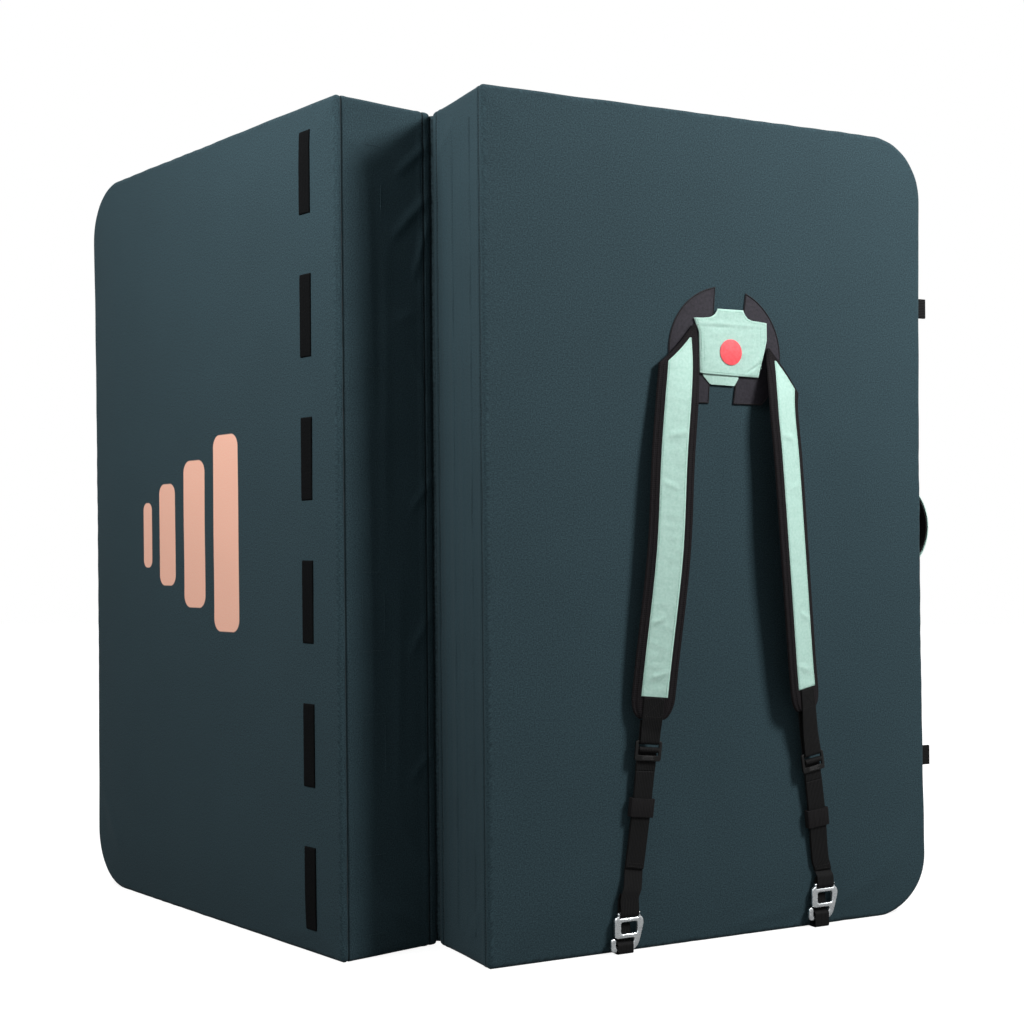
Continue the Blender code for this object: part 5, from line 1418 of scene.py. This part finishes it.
def buildKeeper(name, strap):
    # Keeper: an elastic band round both runs of webbing
    rigid = squarePlace(strapPlace(strap), strap["keeper"])
    high = -lock["thickness"] / 2 + 0.0004 + keeper["play"]
    low = high - clear - 2 * strapSizes["webThickness"] - runGap - 0.0004 - keeper["slack"] * keeper["play"]
    wall, half, opening = keeper["wall"], keeper["width"] / 2, strapSizes["webbing"] / 2 + keeper["side"]
    outline = roundedBox(-half, low - wall, half, high + wall, keeper["corner"], 5)
    hole = np.array([(-opening, low), (opening, low), (opening, high), (-opening, high)])
    made = flatShape(f"{name}_keeper_band", [outline, hole], keeper["height"], keeper["bevel"],
                     lambda x, y, z: rigid(x, z, y), mats["binding"])
    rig.ride(made, f"{name}_keeper")
    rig.replaces(made, f"{name}_webbing_keeper")


def hookLoops():
    # The hook's outline, from its top left and anticlockwise, then the webbing slot and the window
    top, slotFoot = hook["bar"] / 2, -hook["bar"] / 2 - hook["slot"]
    ringTop = slotFoot + hook["ringRise"]
    windowTop = slotFoot - hook["crossBar"] + hook["ringRise"]
    windowFoot = windowTop - hook["windowHeight"] - hook["windowDrop"]
    mouthTop = windowFoot - hook["web"]
    mouthFoot = -mouthDrop - hook["mouth"]
    foot = mouthFoot - hook["foot"]
    half, turn, neck, small = hook["half"], hook["shoulder"], hook["neck"], hook["neckRound"]
    left, right, inner = hook["ringLeft"], hook["ringRight"], hook["mouthRound"]
    tipLeft, tipRight = -hook["tipOut"], hook["tip"] - hook["tipOut"]
    tipTop = mouthFoot + hook["tipRise"]
    rise = np.linspace(foot + 0.0004, hook["legTop"], 18)
    leg = np.stack([smoothTable(hook["leg"], rise), rise], -1)
    outline = np.concatenate([
        arcPoints(small - neck, top - small, small, 90, 180, 4),
        arcPoints(left - half, ringTop - left, left, 90, 180, 8),
        arcPoints(turn - half, mouthTop + turn, turn, 180, 270, 8),
        arcPoints(hook["legIn"] - 0.0008, mouthTop - inner, inner, 90, 0, 4),
        arcPoints(hook["legIn"] - 0.0032, mouthFoot + inner, inner, 0, -90, 4),
        [(tipRight, mouthFoot), (tipRight, tipTop)],
        arcPoints((tipLeft + tipRight) / 2, tipTop, hook["tip"] / 2, 12, 168, 8),
        [(tipLeft, tipTop)],
        arcPoints(tipLeft + turn, foot + turn, turn, 180, 270, 8),
        leg,
        arcPoints(half - right, ringTop - right, right, 0, 90, 10),
        arcPoints(neck - small, top - small, small, 0, 90, 4)])
    # the slot's middle lies half a slot below the bar
    slot = [arcPoints(x, (slotFoot - top) / 2, hook["slotRound"], start, end, 6)
            for x, start, end in ((-hook["slotHalf"], 270, 90), (hook["slotHalf"], 90, -90))]
    window = roundedBox(-hook["window"], windowFoot, hook["window"], windowTop, hook["windowRound"], 4)
    return [outline, np.concatenate(slot), window]


def buildHook(name, strap):
    # Cast hook: its loops filled, rounded and set upright before the ground face
    centre, height, depth = hookCentre(strap), hookHeight(strap), pad["thickness"] + hookLift
    made = flatShape(f"{name}_cast_hook", hookLoops(), hook["thickness"], hook["bevel"],
                     lambda x, y, z: panelPoints(1, centre + x, depth + z, height + y), mats["hook"], steps=4)
    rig.ride(made, f"{name}_hook")
    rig.replaces(made, f"{name}_strap_hook")


def faceDrop(inset):
    # How far the ground face has fallen at an inset from the foot: the round of the edge, then the crown
    turn, crown = pad["edgeRound"], pad["crown"]
    x = (0, turn * 0.29, turn, pad["crownRun"] * 0.3, pad["crownRun"] * 0.65, pad["crownRun"])
    drop = (crown + turn, crown + turn * 0.29, crown, crown * 0.5, crown * 0.12, 0)
    return float(np.interp(inset, x, drop))


def buildAnchor(name, strap):
    # Loop of webbing: out of the foot seam, before the hook's foot, back through its mouth, up, down behind
    middle = hookCentre(strap) + (hook["tip"] - hook["tipOut"] + hook["legIn"]) / 2
    half, bend = anchorSize["thickness"] / 2, anchorSize["thickness"]
    mouthTop = hookHeight(strap) - mouthDrop
    mouth = mouthTop - hook["mouth"] / 2
    reach = hook["thickness"] / 2 + hookGap + half
    front, behind = hookLift + reach, hookLift - reach
    foot, seat = half + clear, half + 3 * clear
    top = mouthTop + hook["lowerBar"] + hook["windowHeight"] * 0.9
    fold = half + clear / 2
    path = np.concatenate([
        [(foot, 2 * clear - faceDrop(foot + half)), (foot, front - bend), (foot + bend / 2, front),
         (mouth - bend, front), (mouth, front - bend), (mouth + bend, behind + bend),
         (mouth + 3 * bend, behind), (top, behind)],
        arcPoints(top, behind - fold, fold, 90, -90, 6)[1:],
        [(h, seat - faceDrop(h)) for h in (0.012, foot + 2 * seat)]])
    made = band(f"{name}_anchor_webbing", path, anchorSize["thickness"], anchorSize["width"],
                lambda h, out, across: panelPoints(1, middle + across, pad["thickness"] + out, h))
    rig.ride(made, "right_panel")
    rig.replaces(made, f"{name}_anchor_loop")


strapBuilders = (buildStrapPad, buildStrapWebbing, buildLock, buildAdjuster, buildKeeper, buildHook,
                 buildAnchor)
for name, strap in straps.items():
    for build in strapBuilders:
        build(name, strap)
print("straps made")

# Tabs and closure straps at the free edges, and the carry handle
closure = {"tabs": (0.784, 0.2005), "tabInset": 0.012, "tabReach": 0.016, "tabGap": 0.0020, "inset": 0.034,
           "length": 0.235, "tops": (0.850, 0.370), "box": (0.003, 0.021)}
handle = {"radius": 0.062, "reach": 0.052, "tab": 0.030, "width": 0.038, "layer": 0.0015, "grip": 56,
          "box": (0.004, 0.003), "blend": (0.002, 0.024)}


def freeEdge(height):
    # Distance of the free edge from the hinge side
    return float(drawnIn(np.array(pad["width"]), np.array(height)))


def buildTab(name, height):
    # Folded loop of webbing that stands out of the free edge beside the ground face
    edge, depth = freeEdge(height) + clear, pad["thickness"] - closure["tabInset"]
    thick = strapSizes["webThickness"]
    spacing = (closure["tabGap"] + thick) / 2
    far = edge + closure["tabReach"] - thick / 2 - spacing
    path = np.concatenate([[(edge, spacing)], arcPoints(far, 0, spacing, 90, -90, 8), [(edge, -spacing)]])
    made = band(f"{name}_tab_webbing", path, thick, strapSizes["webbing"],
                lambda a, out, up: panelPoints(1, a, depth + out, height + up))
    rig.ride(made, "right_panel")
    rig.replaces(made, f"{name}_closure_tab")


def buildClosure(name, top):
    # Closure strap: sewn at its top, hanging down the left free edge, looped round the bar of its hook
    bar = top - closure["length"]
    depth = pad["thickness"] - closure["inset"]
    edge = max(freeEdge(top), freeEdge(bar)) + clear
    thick, webbing = strapSizes["webThickness"], strapSizes["webbing"]
    radius = wrapRadius(hook["bar"], hook["thickness"])
    lift = radius + thick / 2 + clear
    sewn = thick / 2 + clear - edge
    path = np.concatenate([[(top, sewn + freeEdge(top)), (top - webbing, sewn + freeEdge(top - webbing)),
                            (bar + webbing, lift + radius / 2)],
                           arcPoints(bar, lift, radius, 90, 270, 14),
                           [(bar + webbing * 0.9, lift - radius * 0.55)]])

    def place(height, out, across):
        return panelPoints(-1, edge + out, depth + across, height)
    made = band(f"{name}_closure_webbing", path, thick, webbing, place)
    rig.ride(made, f"{name}_closure")
    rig.replaces(made, f"{name}_closure_strap")
    near, far = (top - inset for inset in closure["box"])
    level = sewn + freeEdge((near + far) / 2) + thick / 2
    rows = boxRows(place, near, far, level, panelAxes(-1)[0])
    piece = stitches(f"{name}_closure_stitching", rows, mats["thread"], **boxThread)
    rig.ride(piece, f"{name}_closure")
    piece = flatShape(f"{name}_closure_cast_hook", hookLoops(), hook["thickness"], hook["bevel"],
                      lambda x, y, z: place(bar + y, lift + z, x), mats["hook"], steps=4)
    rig.ride(piece, f"{name}_closure_hook_body")
    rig.replaces(piece, f"{name}_closure_hook")


def buildHandle():
    # Carry handle: webbing on an arc, sewn flat at both ends, its grip a mint outer and a black inner layer
    height, depth = pad["height"] / 2, pad["thickness"] / 2
    thick, tab = strapSizes["webThickness"], handle["tab"]
    sewn = thick / 2 + clear
    centre = handle["reach"] - handle["radius"]
    foot = math.degrees(math.asin((sewn - centre) / handle["radius"]))
    base = handle["radius"] * math.cos(math.radians(foot))
    edge = freeEdge(height)
    rise = freeEdge(height + base + tab) - edge
    arc = arcPoints(0, centre, handle["radius"], 180 - foot, foot, 40)[1:-1]
    path = np.concatenate([[(-base - tab, sewn + rise), (-base, sewn + rise / 2)], arc,
                           [(base, sewn + rise / 2), (base + tab, sewn + rise)]])

    def place(up, out, across):
        return panelPoints(1, edge + out, depth + across, height + up)
    webbing = band("handle_webbing", path, thick, strapSizes["webbing"], place)
    start, end = (tuple(place(0, reach, 0)) for reach in handle["blend"])
    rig.blend(webbing, "right_panel", "carry_handle", start=start, end=end)
    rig.replaces(webbing, "carry_handle_webbing")
    offset = (thick + handle["layer"]) / 2 + clear
    for name, radius, look in (("outer", handle["radius"] + offset, "mint"),
                               ("inner", handle["radius"] - offset, "mesh")):
        path = arcPoints(0, centre, radius, 90 + handle["grip"], 90 - handle["grip"], 40)
        layer = band(f"handle_{name}_grip", path, handle["layer"], handle["width"], place, look)
        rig.ride(layer, "carry_handle")
        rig.replaces(layer, f"carry_handle_{name}")
    rows, level = [], sewn + rise * 0.75 + thick / 2
    first, last = handle["box"]
    for end in (-1, 1):
        rows += boxRows(place, end * (base + first), end * (base + tab - last), level, panelAxes(1)[0])
    piece = stitches("handle_stitching", rows, mats["thread"], **boxThread)
    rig.ride(piece, "right_panel")


for name, height in zip(("upper", "lower"), closure["tabs"]):
    buildTab(name, height)
for name, top in zip(("upper", "lower"), closure["tops"]):
    buildClosure(name, top)
buildHandle()
print("tabs, closures and handle made")

# Camera, light and floor: lens in millimetres, angles of the lamps in degrees, distances and sizes in metres
camera = {"lens": 56.71, "sensor": 36, "back": (0.0923, -1.9405, 0.4731), "azimuth": 11.8, "roll": -0.009157,
          "shiftY": 0.0373}
lamps = {"left": {"azimuth": -33, "elevation": 43, "distance": 1.5, "size": 0.6, "power": 19.4},
         "right": {"azimuth": 77, "elevation": 34, "distance": 2.2, "size": 0.45, "power": 48.5},
         "back": {"azimuth": 176, "elevation": 34, "distance": 2.4, "size": 1.2, "power": 34}}
stage = {"middle": (0, 0, 0.5), "half": 8, "near": 0.6, "far": 1.6, "glow": (0.88, 1.05), "ambient": 0.07}


def buildCamera():
    # Camera where the photograph was taken from, looking level, turned by its azimuth and rolled slightly
    turn = math.radians(camera["azimuth"])
    x, y, z = camera["back"]
    data = bpy.data.cameras.new("photo_camera")
    data.lens, data.sensor_width, data.shift_y = camera["lens"], camera["sensor"], camera["shiftY"]
    data.clip_start, data.clip_end = 0.05, 50
    made = bpy.data.objects.new("photo_camera", data)
    bpy.context.collection.objects.link(made)
    made.location = (hinge[0] + x * math.cos(turn) - y * math.sin(turn),
                     hinge[1] + x * math.sin(turn) + y * math.cos(turn), z)
    spin = Matrix.Rotation(turn, 4, "Z") @ Matrix.Rotation(math.pi / 2, 4, "X")
    made.rotation_euler = (spin @ Matrix.Rotation(camera["roll"], 4, "Z")).to_euler()
    bpy.context.scene.camera = made


def buildLamp(name, values):
    # Square soft lamp aimed at the pad's middle from an azimuth and elevation
    angle, rise = math.radians(values["azimuth"]), math.radians(values["elevation"])
    data = bpy.data.lights.new(f"{name}_softbox", "AREA")
    data.energy, data.size = values["power"], values["size"]
    made = bpy.data.objects.new(f"{name}_softbox", data)
    bpy.context.collection.objects.link(made)
    way = Vector((math.sin(angle) * math.cos(rise), -math.cos(angle) * math.cos(rise), math.sin(rise)))
    made.location = Vector(stage["middle"]) + way * values["distance"]
    made.rotation_euler = way.to_track_quat("Z", "Y").to_euler()


def buildFloor():
    # Matt floor that also glows for the camera, a little less near the pad, so that it is seen as white
    half = stage["half"]
    material, tree, shader = newMaterial("matt_white_floor", 0.9, specular=0.1)
    corners = [(-half, -half, 0), (half, -half, 0), (half, half, 0), (-half, half, 0)]
    floor = addObject("studio_floor", corners, [[0, 1, 2, 3]], material, outward=False)
    shader.inputs["Base Color"].default_value = toLinear("8A8A8A")
    path = node(tree, "ShaderNodeLightPath")
    reach = vectorCalc(tree, "LENGTH", objectVector(tree))
    strength = remap(tree, reach, stage["near"], stage["far"], stage["glow"])
    glow = node(tree, "ShaderNodeEmission", {"Color": (1, 1, 1, 1), "Strength": strength})
    seen = node(tree, "ShaderNodeAddShader", {0: shader.outputs[0], 1: glow.outputs[0]})
    mix = node(tree, "ShaderNodeMixShader", {0: path.outputs["Is Camera Ray"], 1: shader.outputs[0],
                                             2: seen.outputs[0]})
    tree.links.new(mix.outputs[0], tree.nodes["Material Output"].inputs["Surface"])
    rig.stage(floor)


def buildWorld():
    # White surround for the camera and for what reflects or passes it on; all else gets the ambient light
    world = bpy.data.worlds.new("white_studio")
    bpy.context.scene.world = world
    world.use_nodes = True
    tree = world.node_tree
    path = node(tree, "ShaderNodeLightPath")
    seen = calc(tree, "MAXIMUM", path.outputs["Is Camera Ray"], path.outputs["Is Glossy Ray"])
    seen = calc(tree, "MAXIMUM", seen, path.outputs["Is Transmission Ray"])
    back = tree.nodes["Background"]
    back.inputs["Color"].default_value = (1, 1, 1, 1)
    tree.links.new(remap(tree, seen, to=(stage["ambient"], 1.0)), back.inputs["Strength"])


buildCamera()
for name, values in lamps.items():
    buildLamp(name, values)
buildFloor()
buildWorld()
bpy.context.scene.view_settings.view_transform = "Standard"
print("stage made")

with open("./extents.json", "w") as file:
    json.dump({"cad": cadBox, "visual": [list(corner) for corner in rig.bounds()]}, file)
